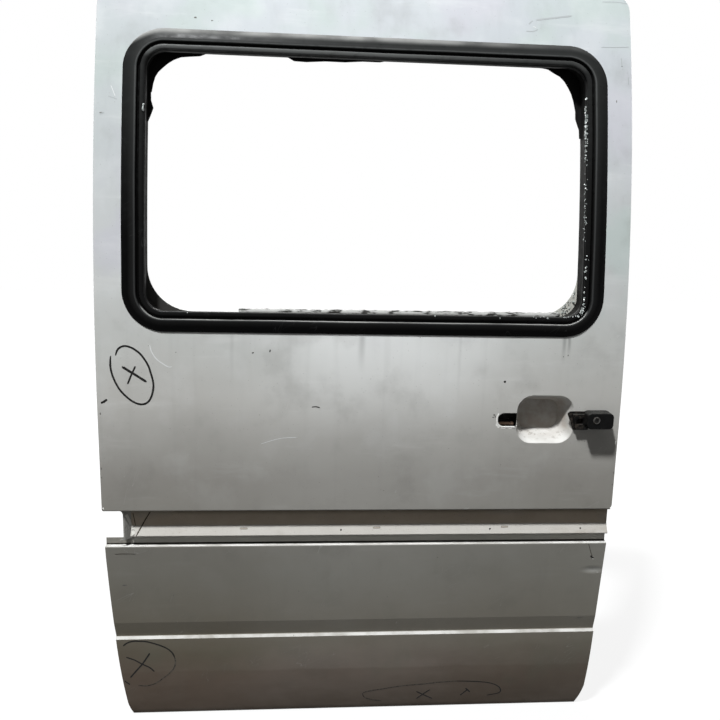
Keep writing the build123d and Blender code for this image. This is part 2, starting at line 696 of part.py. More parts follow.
# Lower inner pressing with service openings and lightening holes.
with BuildPart() as inner_lower_panel:
    with BuildSketch(Plane.YZ.offset(REAR_WALL - SKIN)):
        with BuildLine():
            FilletPolyline(
                at(INNER_SILL_DEPTH, SILL_INSET),
                at(DOOR_DEPTH, INNER_KNEE),
                at(DOOR_DEPTH, BARREL_START - SEAM),
                radius=60,
            )
            offset(amount=SKIN, side=Side.RIGHT)
        make_face()
    extrude(amount=WALL_SPAN + 2 * SKIN)
    for step in (-1, 0, 1):
        with BuildSketch(belt_plane(MIDDLE + step * SERVICE_PITCH, SERVICE_HEIGHT)):
            RectangleRounded(SERVICE_WIDTH, SERVICE_TALL, 40)
        extrude(amount=-160, mode=Mode.SUBTRACT)
    beads = [
        (MIDDLE - SERVICE_PITCH / 2, SERVICE_HEIGHT, SERVICE_TALL - BEAD_TALL, BEAD_UPRIGHT),
        (MIDDLE + SERVICE_PITCH / 2, SERVICE_HEIGHT, SERVICE_TALL - BEAD_TALL, BEAD_UPRIGHT),
        (MIDDLE, INNER_KNEE - BEAD_BELOW_KNEE, WALL_SPAN - 2 * BEAD_ENDS, 0),
    ]
    for x, height, long, turn in beads:
        with BuildSketch(slope_plane(x, height).offset(SKIN / 2)):
            SlotOverall(long, BEAD_TALL, rotation=turn)
        extrude(amount=BEAD_HIGH + SKIN / 2, taper=BEAD_SLOPE)
        with BuildSketch(slope_plane(x, height)):
            SlotOverall(long - 2 * SKIN, BEAD_TALL - 2 * SKIN, rotation=turn)
        extrude(amount=BEAD_HIGH, taper=BEAD_SLOPE, mode=Mode.SUBTRACT)
    for step in (-2, -1, 0, 1):
        with BuildSketch(belt_plane(MIDDLE + (step + 0.5) * LIGHTENING_PITCH, LIGHTENING_HEIGHT)):
            Circle(LIGHTENING_RADIUS)
        extrude(amount=-160, mode=Mode.SUBTRACT)
    with BuildSketch(belt_plane(CENTRE_ARM_X, CENTRE_ARM_HEIGHT)):
        with GridLocations(CENTRE_BOLTS_X, CENTRE_BOLTS_Z, 2, 2):
            Circle(BOLT_RADIUS + BOLT_ROOM)
    extrude(amount=-160, mode=Mode.SUBTRACT)
inner_lower_panel.part.label = "inner_lower_panel"
export_step(inner_lower_panel.part, "parts/inner_lower_panel.step")


def wall_face():
    """Side wall outline between the outer skin and the inner pressing."""
    top = DOOR_HEIGHT - TOP_INSET - 2
    middle = (BARREL_START + top) / 2
    with BuildLine() as line:
        ThreePointArc(
            at(barrel(BARREL_START, SKIN_BACK), BARREL_START),
            at(barrel(middle, SKIN_BACK), middle),
            at(barrel(top, SKIN_BACK), top),
        )
        Line(at(barrel(top, SKIN_BACK), top), at(barrel(top, DOOR_DEPTH - SEAM), top))
        ThreePointArc(
            at(barrel(top, DOOR_DEPTH - SEAM), top),
            at(barrel(middle, DOOR_DEPTH - SEAM), middle),
            at(DOOR_DEPTH - SEAM, BARREL_START),
        )
        Polyline(
            at(DOOR_DEPTH - SEAM, BARREL_START),
            at(DOOR_DEPTH - SEAM, INNER_KNEE + 10),
            at(inner_depth(INNER_KNEE - 10) - SEAM - 0.6, INNER_KNEE - 10),
            at(INNER_SILL_DEPTH - SEAM - 0.6, SILL_INSET),
            at(tuck(SILL_INSET) + SLOPED_BACK, SILL_INSET),
            at(VALLEY_DEPTH + SLOPED_BACK, CREASE_HEIGHT - 12),
            at(VALLEY_DEPTH + SLOPED_BACK, VALLEY_HEIGHT + 6),
            at(waist(WAIST_HEIGHT + 8) + SLOPED_BACK, WAIST_HEIGHT + 8),
            at(waist(LOWER_TOP - FOLD - 16) + SLOPED_BACK, LOWER_TOP - FOLD - 16),
            at(BELT_BACK, LOWER_TOP - FOLD - 3),
            at(BELT_BACK, UPPER_LOW + 4),
            at(SKIN_BACK, UPPER_LOW + 14),
            at(SKIN_BACK, BARREL_START),
        )
    return make_face(line.edges())


def wall_holes():
    """Places of the access holes in the side walls, midway between the skins."""
    return [at(barrel(height, DOOR_DEPTH / 2), height) for height in WALL_HOLES]


# Rear and front walls of the door box, with access holes.
with BuildPart() as rear_edge_wall:
    with BuildSketch(Plane.YZ.offset(REAR_WALL - SKIN)):
        add(wall_face())
        with Locations(*wall_holes()):
            Circle(WALL_HOLE_RADIUS, mode=Mode.SUBTRACT)
    extrude(amount=SKIN)
rear_edge_wall.part.label = "rear_edge_wall"
export_step(rear_edge_wall.part, "parts/rear_edge_wall.step")

with BuildPart() as front_edge_wall:
    with BuildSketch(Plane.YZ.offset(FRONT_WALL)):
        add(wall_face())
        with Locations(*wall_holes()):
            Circle(WALL_HOLE_RADIUS, mode=Mode.SUBTRACT)
    extrude(amount=SKIN)
front_edge_wall.part.label = "front_edge_wall"
export_step(front_edge_wall.part, "parts/front_edge_wall.step")

# Top and sill walls.
with BuildPart() as top_edge_wall:
    top_z = DOOR_HEIGHT - TOP_INSET - 2
    with BuildSketch(Plane.YZ.offset(REAR_WALL)):
        with BuildLine():
            Polyline(
                at(barrel(top_z, SKIN_BACK), top_z),
                at(barrel(top_z, DOOR_DEPTH - SEAM), top_z),
                at(barrel(top_z, DOOR_DEPTH - SEAM) - 1, top_z - SKIN),
                at(barrel(top_z, SKIN_BACK), top_z - SKIN),
                close=True,
            )
        make_face()
    extrude(amount=WALL_SPAN)
top_edge_wall.part.label = "top_edge_wall"
export_step(top_edge_wall.part, "parts/top_edge_wall.step")

with BuildPart() as sill_wall:
    with BuildSketch(Plane.YZ.offset(REAR_WALL)):
        with BuildLine():
            Polyline(
                at(tuck(SILL_INSET) + SLOPED_BACK, SILL_INSET),
                at(INNER_SILL_DEPTH - SEAM, SILL_INSET),
                at(INNER_SILL_DEPTH - SEAM, SILL_INSET - SKIN),
                at(tuck(SILL_INSET - SKIN) + SLOPED_BACK, SILL_INSET - SKIN),
                close=True,
            )
        make_face()
    extrude(amount=WALL_SPAN)
    sill_middle = (tuck(SILL_INSET) + SLOPED_BACK + INNER_SILL_DEPTH) / 2 - PAD_DEPTH
    with BuildSketch(Plane.XY.offset(SILL_INSET - PAD_HEIGHT)):
        with Locations((MIDDLE, sill_middle)):
            with GridLocations(DRAIN_PITCH, 1, 3, 1):
                SlotOverall(DRAIN_LONG, DRAIN_TALL)
    extrude(amount=2 * SKIN, both=True, mode=Mode.SUBTRACT)
sill_wall.part.label = "sill_wall"
export_step(sill_wall.part, "parts/sill_wall.step")

# Jamb that closes the channel's rear end: a leg along the notch, a slanting leg into the channel,
# and rounded corners at the notch's top and bottom.
with BuildPart() as notch_jamb:
    jamb_low = FLANGE_TOP + SEAM - PAD_HEIGHT
    jamb_high = UPPER_LOW - SKIN_BACK - PAD_HEIGHT
    jamb_x = REAR + NOTCH
    with BuildSketch(Plane.XY.offset(jamb_low)):
        with BuildLine():
            FilletPolyline(
                (jamb_x, JAMB_DEEP - PAD_DEPTH),
                (jamb_x, JAMB_EDGE - PAD_DEPTH),
                (jamb_x + JAMB_REACH, CHANNEL_DEPTH - PAD_DEPTH),
                radius=2.5,
            )
            offset(amount=SKIN, side=Side.LEFT)
        make_face()
    extrude(amount=jamb_high - jamb_low)
    with BuildSketch(Plane.XZ.offset(PAD_DEPTH - JAMB_EDGE - HEM)):
        for end, side in ((jamb_low, 1), (jamb_high, -1)):
            with Locations((jamb_x + (SKIN - NOTCH_CORNER) / 2, end + side * NOTCH_CORNER / 2)):
                Rectangle(NOTCH_CORNER + SKIN, NOTCH_CORNER)
            with Locations((jamb_x - NOTCH_CORNER, end + side * NOTCH_CORNER)):
                Circle(NOTCH_CORNER, mode=Mode.SUBTRACT)
    extrude(amount=-SKIN)
notch_jamb.part.label = "notch_jamb"
export_step(notch_jamb.part, "parts/notch_jamb.step")

# Hat-section stiffener under the window, bonded behind the skin.
with BuildPart() as belt_stiffener:
    with BuildSketch(Plane.YZ.offset(REAR_WALL + SEAM)):
        with BuildLine():
            hat_low = STIFFENER_HEIGHT - HAT_TALL / 2
            hat_high = STIFFENER_HEIGHT + HAT_TALL / 2
            FilletPolyline(
                at(barrel(hat_low - HAT_FLANGE, SKIN + BOND_GAP), hat_low - HAT_FLANGE),
                at(barrel(hat_low, SKIN + BOND_GAP), hat_low),
                at(barrel(STIFFENER_HEIGHT) + HAT_DEEP, hat_low + 5),
                at(barrel(STIFFENER_HEIGHT) + HAT_DEEP, hat_high - 5),
                at(barrel(hat_high, SKIN + BOND_GAP), hat_high),
                at(barrel(hat_high + HAT_FLANGE, SKIN + BOND_GAP), hat_high + HAT_FLANGE),
                radius=3,
            )
            offset(amount=SKIN, side=Side.RIGHT)
        make_face()
    extrude(amount=WALL_SPAN - 2 * SEAM)
belt_stiffener.part.label = "belt_stiffener"
export_step(belt_stiffener.part, "parts/belt_stiffener.step")

# Side impact beam across the lower box.
with BuildPart() as impact_beam:
    with BuildSketch(Plane.YZ.offset(REAR_WALL + SEAM)):
        with Locations(at(BEAM_DEPTH, BEAM_HEIGHT)):
            RectangleRounded(BEAM_DEEP, BEAM_TALL, 5)
            RectangleRounded(BEAM_DEEP - 2 * BEAM_WALL, BEAM_TALL - 2 * BEAM_WALL, 3, mode=Mode.SUBTRACT)
    extrude(amount=WALL_SPAN - 2 * SEAM)
impact_beam.part.label = "impact_beam"
export_step(impact_beam.part, "parts/impact_beam.step")

# Lock housing beside the bowl: proud block, slanted foot on a thin base with the grip socket, barrel behind.
with BuildPart() as lock_housing:
    foot_right = BLOCK_CORNER - BLOCK_WIDTH / 2
    foot_left = -BLOCK_WIDTH / 2 - FOOT_REACH
    foot_low = -FOOT_DROP - FOOT_TALL / 2
    foot_high = foot_low + FOOT_TALL
    with BuildSketch(belt_plane(BLOCK_X, BLOCK_HEIGHT, -SEAM)):
        with BuildLine():
            FilletPolyline(
                (foot_right, foot_low),
                (foot_right, foot_high),
                (foot_left + FOOT_CUT, foot_high),
                (foot_left, foot_high - FOOT_CUT),
                (foot_left + FOOT_SLANT, foot_low),
                close=True,
                radius=2.5,
            )
        make_face()
    extrude(amount=FOOT_PROUD, taper=6)
    with BuildSketch(belt_plane(BLOCK_X, BLOCK_HEIGHT, -SEAM)):
        with BuildLine():
            FilletPolyline(
                (foot_right, foot_low + FOOT_STEP / 3),
                (foot_right, foot_high - FOOT_STEP),
                (foot_left + 2 * FOOT_STEP, foot_high - FOOT_STEP),
                (foot_left + FOOT_SLANT + FOOT_STEP / 2, foot_low + FOOT_STEP / 3),
                close=True,
                radius=2.5,
            )
        make_face()
    extrude(amount=FOOT_FACE, taper=6)
    with BuildSketch(belt_plane(BLOCK_X, BLOCK_HEIGHT, -SEAM)):
        RectangleRounded(BLOCK_WIDTH, BLOCK_TALL, BLOCK_CORNER)
    extrude(amount=BLOCK_PROUD, taper=3)
    fillet(lock_housing.faces().sort_by(Axis.Y)[0].edges(), radius=2.2)
    with BuildSketch(belt_plane(LOCK_X, LOCK_HEIGHT, -SEAM)):
        Circle(BARREL_OUTER)
    extrude(amount=-BARREL_LONG)
    with BuildSketch(belt_plane(LOCK_X, LOCK_HEIGHT, BARREL_LONG)):
        Circle(PLUG_RADIUS + PLUG_FIT)
    extrude(amount=BARREL_LONG + BLOCK_PROUD + 5, mode=Mode.SUBTRACT)
    socket_x = BLOCK_X - BLOCK_WIDTH / 2 - SOCKET_GAP - SOCKET_WIDE / 2
    with BuildSketch(belt_plane(socket_x, BLOCK_HEIGHT - FOOT_DROP, -SEAM - FOOT_FACE)):
        RectangleRounded(SOCKET_WIDE, SOCKET_TALL, 2)
    extrude(amount=-SOCKET_DEEP, mode=Mode.SUBTRACT)
lock_housing.part.label = "lock_housing"
export_step(lock_housing.part, "parts/lock_housing.step")

# Ring round the key plug.
with BuildPart() as lock_ring:
    with BuildSketch(belt_plane(LOCK_X, LOCK_HEIGHT, -SEAM - BLOCK_PROUD)):
        Circle(RING_OUTER)
        Circle(PLUG_RADIUS + PLUG_FIT, mode=Mode.SUBTRACT)
    extrude(amount=RING_PROUD)
    chamfer(lock_ring.faces().sort_by(Axis.Y)[0].edges().sort_by(SortBy.RADIUS)[-1], length=0.8)
lock_ring.part.label = "lock_ring"
export_step(lock_ring.part, "parts/lock_ring.step")

# Key plug with keyway and cam, which turns in the barrel.
with BuildPart() as lock_cylinder:
    plug_face = -SEAM - BLOCK_PROUD - RING_PROUD
    with BuildSketch(belt_plane(LOCK_X, LOCK_HEIGHT, BARREL_LONG + CAM_GAP)):
        Circle(PLUG_RADIUS)
    extrude(amount=BARREL_LONG + CAM_GAP - plug_face)
    with BuildSketch(belt_plane(LOCK_X, LOCK_HEIGHT, BARREL_LONG + CAM_GAP + CAM_THICK)):
        with Locations((0, -CAM_REACH / 2)):
            SlotOverall(CAM_REACH + 2 * PLUG_RADIUS, 2 * PLUG_RADIUS, rotation=90)
    extrude(amount=CAM_THICK)
    with BuildSketch(belt_plane(LOCK_X, LOCK_HEIGHT, plug_face)):
        Rectangle(KEYWAY_WIDE, KEYWAY_LONG)
    extrude(amount=-KEYWAY_DEEP, mode=Mode.SUBTRACT)
lock_cylinder.part.label = "lock_cylinder"
export_step(lock_cylinder.part, "parts/lock_cylinder.step")

# Doubler plate round the grip pivot slot, behind the skin.
with BuildPart() as pivot_plate:
    plate_left = SLOT_X - SLOT_LONG / 2 - PIVOT_MARGIN
    plate_right = BOWL_X - BOWL_WIDTH / 2 - 2 * BOWL_RIM - SKIN
    with BuildSketch(belt_plane((plate_left + plate_right) / 2, SLOT_HEIGHT, SKIN_BACK)):
        RectangleRounded(plate_right - plate_left, SLOT_TALL + 2 * PIVOT_MARGIN, 6)
    extrude(amount=-PIVOT_THICK)
    with BuildSketch(belt_plane(SLOT_X + BOWL_REACH / 2, SLOT_HEIGHT)):
        SlotOverall(SLOT_LONG + BOWL_REACH, SLOT_TALL)
    extrude(amount=12, both=True, mode=Mode.SUBTRACT)
pivot_plate.part.label = "pivot_plate"
export_step(pivot_plate.part, "parts/pivot_plate.step")


def latch_plate(x, height):
    """Latch face plate sketch with the striker mouth open inward."""
    with BuildSketch(Plane.YZ.offset(x)) as face:
        with Locations(at(LATCH_DEPTH, height)):
            RectangleRounded(LATCH_WIDE, LATCH_TALL, 6)
        with Locations(at(LATCH_DEPTH + LATCH_WIDE / 2, height)):
            SlotOverall(2 * MOUTH_LONG, MOUTH_TALL, mode=Mode.SUBTRACT)
    return face.sketch


def latch_claw(x, height):
    """Fork claw sketch, open inward like the mouth of its plate."""
    with BuildSketch(Plane.YZ.offset(x)) as face:
        with Locations(at(LATCH_DEPTH, height)):
            Circle(CLAW_RADIUS)
        with Locations(at(LATCH_DEPTH + CLAW_RADIUS, height)):
            SlotOverall(2 * CLAW_RADIUS, MOUTH_TALL - 2, mode=Mode.SUBTRACT)
    return face.sketch


# Front and rear latches, each a face plate and a fork claw.
with BuildPart() as front_latch:
    extrude(latch_plate(FRONT_WALL + SKIN, FRONT_LATCH_HEIGHT), amount=LATCH_THICK)
front_latch.part.label = "front_latch"
export_step(front_latch.part, "parts/front_latch.step")

with BuildPart() as front_latch_claw:
    extrude(latch_claw(FRONT_WALL + SKIN + LATCH_THICK, FRONT_LATCH_HEIGHT), amount=CLAW_THICK)
front_latch_claw.part.label = "front_latch_claw"
export_step(front_latch_claw.part, "parts/front_latch_claw.step")

with BuildPart() as rear_latch:
    extrude(latch_plate(REAR_WALL - SKIN - LATCH_THICK, REAR_LATCH_HEIGHT), amount=LATCH_THICK)
rear_latch.part.label = "rear_latch"
export_step(rear_latch.part, "parts/rear_latch.step")

with BuildPart() as rear_latch_claw:
    extrude(latch_claw(REAR_WALL - SKIN - LATCH_THICK - CLAW_THICK, REAR_LATCH_HEIGHT), amount=CLAW_THICK)
rear_latch_claw.part.label = "rear_latch_claw"
export_step(rear_latch_claw.part, "parts/rear_latch_claw.step")

# Inner release handle: cup and lever.
with BuildPart() as release_cup:
    with BuildSketch(inner_plane(CUP_X, CUP_HEIGHT, DOOR_DEPTH + SKIN)):
        RectangleRounded(CUP_WIDE, CUP_TALL, CUP_CORNER)
    extrude(amount=CUP_THICK, taper=12)
    with BuildSketch(inner_plane(CUP_X, CUP_HEIGHT, DOOR_DEPTH + SKIN + CUP_FLOOR)):
        RectangleRounded(CUP_WIDE - 2 * CUP_RIM, CUP_TALL - 2 * CUP_RIM, CUP_CORNER - 4)
    extrude(amount=CUP_THICK, mode=Mode.SUBTRACT)
release_cup.part.label = "release_cup"
export_step(release_cup.part, "parts/release_cup.step")

with BuildPart() as release_lever:
    with BuildSketch(inner_plane(CUP_X, CUP_HEIGHT, DOOR_DEPTH + SKIN + CUP_FLOOR)):
        RectangleRounded(CUP_WIDE - 2 * CUP_RIM - 14, LEVER_TALL, 8)
    extrude(amount=LEVER_THICK, taper=6)
release_lever.part.label = "release_lever"
export_step(release_lever.part, "parts/release_lever.step")

# Folded pad for the lower roller arm, with the datum on its flat face.
with BuildPart() as lower_arm_pad:
    pad_low = PAD_HEIGHT - PAD_TALL / 2
    pad_high = PAD_HEIGHT + PAD_TALL / 2
    with BuildSketch(Plane.YZ.offset(-PAD_WIDTH / 2)):
        with BuildLine():
            Polyline(
                at(inner_depth(pad_low) + SKIN_BACK, pad_low),
                at(PAD_DEPTH, pad_low),
                at(PAD_DEPTH, pad_high),
                at(inner_depth(pad_high) + SKIN_BACK, pad_high),
                close=True,
            )
        make_face()
    extrude(amount=PAD_WIDTH)
    with BuildSketch(Plane.YZ.offset(-PAD_WIDTH / 2 + PLATE)):
        with BuildLine():
            Polyline(
                at(inner_depth(pad_low) - PLATE, pad_low - PLATE),
                at(PAD_DEPTH - PLATE, pad_low - PLATE),
                at(PAD_DEPTH - PLATE, pad_high - PLATE),
                at(inner_depth(pad_high) - PLATE, pad_high - PLATE),
                close=True,
            )
        make_face()
    extrude(amount=PAD_WIDTH - 2 * PLATE, mode=Mode.SUBTRACT)
    with BuildSketch(Plane.XZ):
        with GridLocations(PAD_BOLTS_X, PAD_BOLTS_Z, 2, 2):
            Circle(BOLT_RADIUS)
    extrude(amount=PLATE, both=True, mode=Mode.SUBTRACT)
lower_arm_pad.part.label = "lower_arm_pad"
export_step(lower_arm_pad.part, "parts/lower_arm_pad.step")

# Folded bracket for the upper roller arm.
with BuildPart() as upper_arm_bracket:
    arm_low = UPPER_ARM_HEIGHT - UPPER_ARM_TALL / 2
    arm_high = UPPER_ARM_HEIGHT + UPPER_ARM_TALL / 2
    arm_face = barrel(arm_high, DOOR_DEPTH) + SKIN_BACK + UPPER_ARM_STAND
    with BuildSketch(Plane.YZ.offset(UPPER_ARM_X - UPPER_ARM_WIDE / 2)):
        with BuildLine():
            Polyline(
                at(barrel(arm_low, DOOR_DEPTH) + SKIN_BACK, arm_low),
                at(arm_face, arm_low),
                at(arm_face, arm_high),
                at(barrel(arm_high, DOOR_DEPTH) + SKIN_BACK, arm_high),
                close=True,
            )
        make_face()
    extrude(amount=UPPER_ARM_WIDE)
    with BuildSketch(Plane.YZ.offset(UPPER_ARM_X - UPPER_ARM_WIDE / 2 + PLATE)):
        with BuildLine():
            Polyline(
                at(barrel(arm_low, DOOR_DEPTH) - PLATE, arm_low - PLATE),
                at(arm_face - PLATE, arm_low - PLATE),
                at(arm_face - PLATE, arm_high + PLATE),
                at(barrel(arm_high, DOOR_DEPTH) - PLATE, arm_high + PLATE),
                close=True,
            )
        make_face()
    extrude(amount=UPPER_ARM_WIDE - 2 * PLATE, mode=Mode.SUBTRACT)
    with BuildSketch(inner_plane(UPPER_ARM_X, UPPER_ARM_HEIGHT, arm_face)):
        with GridLocations(UPPER_ARM_BOLTS, 1, 2, 1):
            Circle(BOLT_RADIUS)
    extrude(amount=PLATE * 1.5, both=True, mode=Mode.SUBTRACT)
upper_arm_bracket.part.label = "upper_arm_bracket"
export_step(upper_arm_bracket.part, "parts/upper_arm_bracket.step")

# Flat doubler for the centre roller arm behind the notch.
with BuildPart() as centre_arm_plate:
    with BuildSketch(inner_plane(CENTRE_ARM_X, CENTRE_ARM_HEIGHT, DOOR_DEPTH + SKIN)):
        RectangleRounded(CENTRE_ARM_WIDE, CENTRE_ARM_TALL, 10)
        with GridLocations(CENTRE_BOLTS_X, CENTRE_BOLTS_Z, 2, 2):
            Circle(BOLT_RADIUS, mode=Mode.SUBTRACT)
    extrude(amount=PLATE)
centre_arm_plate.part.label = "centre_arm_plate"
export_step(centre_arm_plate.part, "parts/centre_arm_plate.step")
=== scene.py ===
"""Looks of a van's sliding side door, taken off its rollers and stripped of glass and pull grip."""
import math
import random

import bmesh
import bpy
from mathutils import Matrix, Vector
from mathutils.bvhtree import BVHTree


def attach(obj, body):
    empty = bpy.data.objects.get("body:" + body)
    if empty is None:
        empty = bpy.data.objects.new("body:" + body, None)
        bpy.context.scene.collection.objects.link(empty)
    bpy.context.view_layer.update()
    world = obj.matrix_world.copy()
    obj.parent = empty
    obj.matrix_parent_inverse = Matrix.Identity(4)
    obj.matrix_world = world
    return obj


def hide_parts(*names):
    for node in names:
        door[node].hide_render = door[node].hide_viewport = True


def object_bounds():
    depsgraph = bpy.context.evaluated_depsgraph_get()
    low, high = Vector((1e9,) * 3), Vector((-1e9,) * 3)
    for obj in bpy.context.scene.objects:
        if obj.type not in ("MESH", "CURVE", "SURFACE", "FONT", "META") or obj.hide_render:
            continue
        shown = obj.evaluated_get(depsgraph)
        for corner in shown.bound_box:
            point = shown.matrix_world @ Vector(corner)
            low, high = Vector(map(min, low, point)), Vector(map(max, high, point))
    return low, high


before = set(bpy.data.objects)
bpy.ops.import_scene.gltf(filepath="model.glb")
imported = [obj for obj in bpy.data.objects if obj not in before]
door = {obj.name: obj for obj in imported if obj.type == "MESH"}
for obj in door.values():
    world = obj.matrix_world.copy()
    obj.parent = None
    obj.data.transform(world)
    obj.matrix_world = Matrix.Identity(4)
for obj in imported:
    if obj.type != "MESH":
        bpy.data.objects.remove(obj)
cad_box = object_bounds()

scene = bpy.context.scene
scene.view_settings.view_transform = "Standard"

# Camera: a hand-held shot from about chest height, close to the door and a little left of its middle.
# Its place and directions were fitted to the edges of the door and of the window rubber.
camera_data = bpy.data.cameras.new("camera")
camera_data.sensor_width = 36.0
camera_data.lens = 33.19
camera = bpy.data.objects.new("camera", camera_data)
camera_right = Vector((0.99758, -0.06594, 0.02201))
camera_up = Vector((-0.01070, 0.16714, 0.98587))
camera_forward = Vector((0.06868, 0.98373, -0.16603))
camera_place = Vector((-0.52677, -1.52281, 1.02002))
camera_turn = Matrix((camera_right, camera_up, -camera_forward)).transposed().to_4x4()
camera.matrix_world = Matrix.Translation(camera_place) @ camera_turn
scene.collection.objects.link(camera)
scene.camera = camera


# Studio floor: a wide pale sheet, laid just under the door's lower edge.
# It shows white, a little greyer close to the door, and keeps the door's shadow.
class Nodes:
    """A shader's node tree with the place on the surface, and short ways to add linked nodes to it."""

    def __init__(self, tree, place):
        self.tree = tree
        self.place = place

    def add(self, kind):
        """A new node of a kind."""
        return self.tree.nodes.new("ShaderNode" + kind)

    def wire(self, socket, value):
        """Links a socket to another node's output, or sets it to a plain value."""
        if isinstance(value, bpy.types.NodeSocket):
            self.tree.links.new(value, socket)
        else:
            socket.default_value = value

    def maths(self, operation, first, second=0.0, clamp=False):
        """Arithmetic on two values or sockets."""
        made = self.add("Math")
        made.operation = operation
        made.use_clamp = clamp
        self.wire(made.inputs[0], first)
        self.wire(made.inputs[1], second)
        return made.outputs[0]

    def times(self, product, *others):
        """Product of two or more values or sockets."""
        for other in others:
            product = self.maths("MULTIPLY", product, other)
        return product

    def remap(self, value, low, high, to_low=0.0, to_high=1.0):
        """Stretches a value from one range to another, with a smooth and clamped run between."""
        made = self.add("MapRange")
        made.interpolation_type = "SMOOTHSTEP"
        for name, number in (("From Min", low), ("From Max", high), ("To Min", to_low), ("To Max", to_high)):
            self.wire(made.inputs[name], number)
        self.wire(made.inputs["Value"], value)
        return made.outputs["Result"]

    def vectors(self, operation, first, second):
        """Arithmetic on a vector socket and a plain vector."""
        made = self.add("VectorMath")
        made.operation = operation
        self.wire(made.inputs[0], first)
        made.inputs[1].default_value = second
        return made.outputs["Value" if operation == "DISTANCE" else "Vector"]

    def seen_directly(self):
        """One for rays from the camera, mirror-like rays and rays through glass, and nought for others."""
        rays = self.add("LightPath").outputs
        seen = self.maths("MAXIMUM", rays["Is Camera Ray"], rays["Is Glossy Ray"])
        return self.maths("MAXIMUM", seen, rays["Is Transmission Ray"])


floor_gap = 0.002
floor_half = 14.0
floor_height = cad_box[0].z - floor_gap
floor_corners = [(x * floor_half, y * floor_half, floor_height) for x, y in ((-1, -1), (1, -1), (1, 1), (-1, 1))]
floor_mesh = bpy.data.meshes.new("floor")
floor_mesh.from_pydata(floor_corners, [], [(0, 1, 2, 3)])
floor = bpy.data.objects.new("floor", floor_mesh)
scene.collection.objects.link(floor)
floor_paint = bpy.data.materials.new("floor_paint")
floor_paint.use_nodes = True
floor_nodes = floor_paint.node_tree.nodes
sheet = Nodes(floor_paint.node_tree, floor_nodes.new("ShaderNodeTexCoord").outputs["Object"])
floor_shader = floor_nodes["Principled BSDF"].inputs
floor_shader["Base Color"].default_value = (0.12, 0.12, 0.12, 1)
floor_shader["Roughness"].default_value = 0.9
floor_shader["Specular IOR Level"].default_value = 0.0
floor_shader["Emission Strength"].default_value = 1.0
from_door = sheet.vectors("DISTANCE", sheet.place, (-0.4, 0.0, floor_height))
white = sheet.remap(from_door, 0.7, 2.6, 0.84, 1.0)
sheet.wire(floor_shader["Emission Color"], sheet.times(white, sheet.seen_directly()))
floor_mesh.materials.append(floor_paint)

# Studio light: one lamp high in front and a little to the left, and a weaker one behind the door.
# A pale dome above fills the shadows and shows as a plain white background.
lamp_rows = (
    # name, place, target, width, depth, power, colour
    ("front_lamp", (-1.87, -2.40, 6.66), (-0.42, -0.10, 0.80), 0.50, 0.50, 720.0, (0.97, 0.99, 1.0)),
    ("back_lamp", (-0.90, 2.10, 2.60), (-0.42, 0.00, 0.70), 1.20, 0.80, 60.0, (1.0, 0.99, 0.97)),
)
for name, spot, target, wide, deep, power, tint in lamp_rows:
    lamp_data = bpy.data.lights.new(name, "AREA")
    lamp_data.shape = "RECTANGLE"
    lamp_data.size = wide
    lamp_data.size_y = deep
    lamp_data.energy = power
    lamp_data.color = tint
    lamp = bpy.data.objects.new(name, lamp_data)
    lamp.location = spot
    lamp.rotation_euler = (Vector(target) - Vector(spot)).to_track_quat("-Z", "Y").to_euler()
    scene.collection.objects.link(lamp)
world = bpy.data.worlds.new("studio")
scene.world = world
world.use_nodes = True
world_nodes = world.node_tree.nodes
dome = Nodes(world.node_tree, world_nodes.new("ShaderNodeTexCoord").outputs["Generated"])
upward = dome.add("SeparateXYZ")
dome.wire(upward.inputs[0], dome.place)
glow = dome.remap(upward.outputs["Z"], -0.1, 0.6, 0.03, 0.17)
backdrop = world_nodes["Background"].inputs
dome.wire(backdrop["Strength"], dome.maths("MAXIMUM", glow, dome.seen_directly()))
backdrop["Color"].default_value = (1, 1, 1, 1)


# Outer skins: two pressed steel panels in silver paint, hemmed round the edges. The paint's colour darkens
# from about the handle's height down, to brown along the sill, and it is marked by runs, fine scratches and specks
# of dirt.
class Surface(Nodes):
    """Nodes for what changes over a surface: coats, blotches, and the parts of its place and direction."""

    def axes(self, vector):
        """The three parts of a vector socket."""
        made = self.add("SeparateXYZ")
        self.wire(made.inputs[0], vector)
        return made.outputs

    def facing(self):
        """The three parts of the direction that the surface faces."""
        return self.axes(self.add("NewGeometry").outputs["Normal"])

    def cover(self, mask, under, over):
        """Colour of a surface where one coat lies over another by a mask."""
        made = self.add("Mix")
        made.data_type = "RGBA"
        for index, value in ((0, mask), (6, under), (7, over)):
            self.wire(made.inputs[index], (*value, 1) if isinstance(value, tuple) else value)
        return made.outputs[2]

    def mottle(self, scale, detail=3.0, rough=0.55, stretch=(1.0, 1.0, 1.0), place=None):
        """Soft blotches of a given number per metre, stretched along an axis where it is below one."""
        made = self.add("TexNoise")
        self.wire(made.inputs["Vector"], self.vectors("MULTIPLY", self.place if place is None else place, stretch))
        self.wire(made.inputs["Scale"], scale)
        made.inputs["Detail"].default_value = detail
        made.inputs["Roughness"].default_value = rough
        return made.outputs[0]

    def pebbles(self, scale):
        """Distance from the nearest of many scattered points, a given number per metre."""
        made = self.add("TexVoronoi")
        self.wire(made.inputs["Vector"], self.place)
        self.wire(made.inputs["Scale"], scale)
        return made.outputs["Distance"]

    def graded(self, value, stops):
        """Colour that runs through set colours as a value rises from nought to one."""
        made = self.add("ValToRGB")
        ramp = made.color_ramp
        ramp.elements[0].position = stops[0][0]
        ramp.elements[1].position = stops[-1][0]
        for spot, _ in stops[1:-1]:
            ramp.elements.new(spot)
        for element, (_, tone) in zip(ramp.elements, stops):
            element.color = (*tone, 1)
        self.wire(made.inputs[0], value)
        return made.outputs[0]


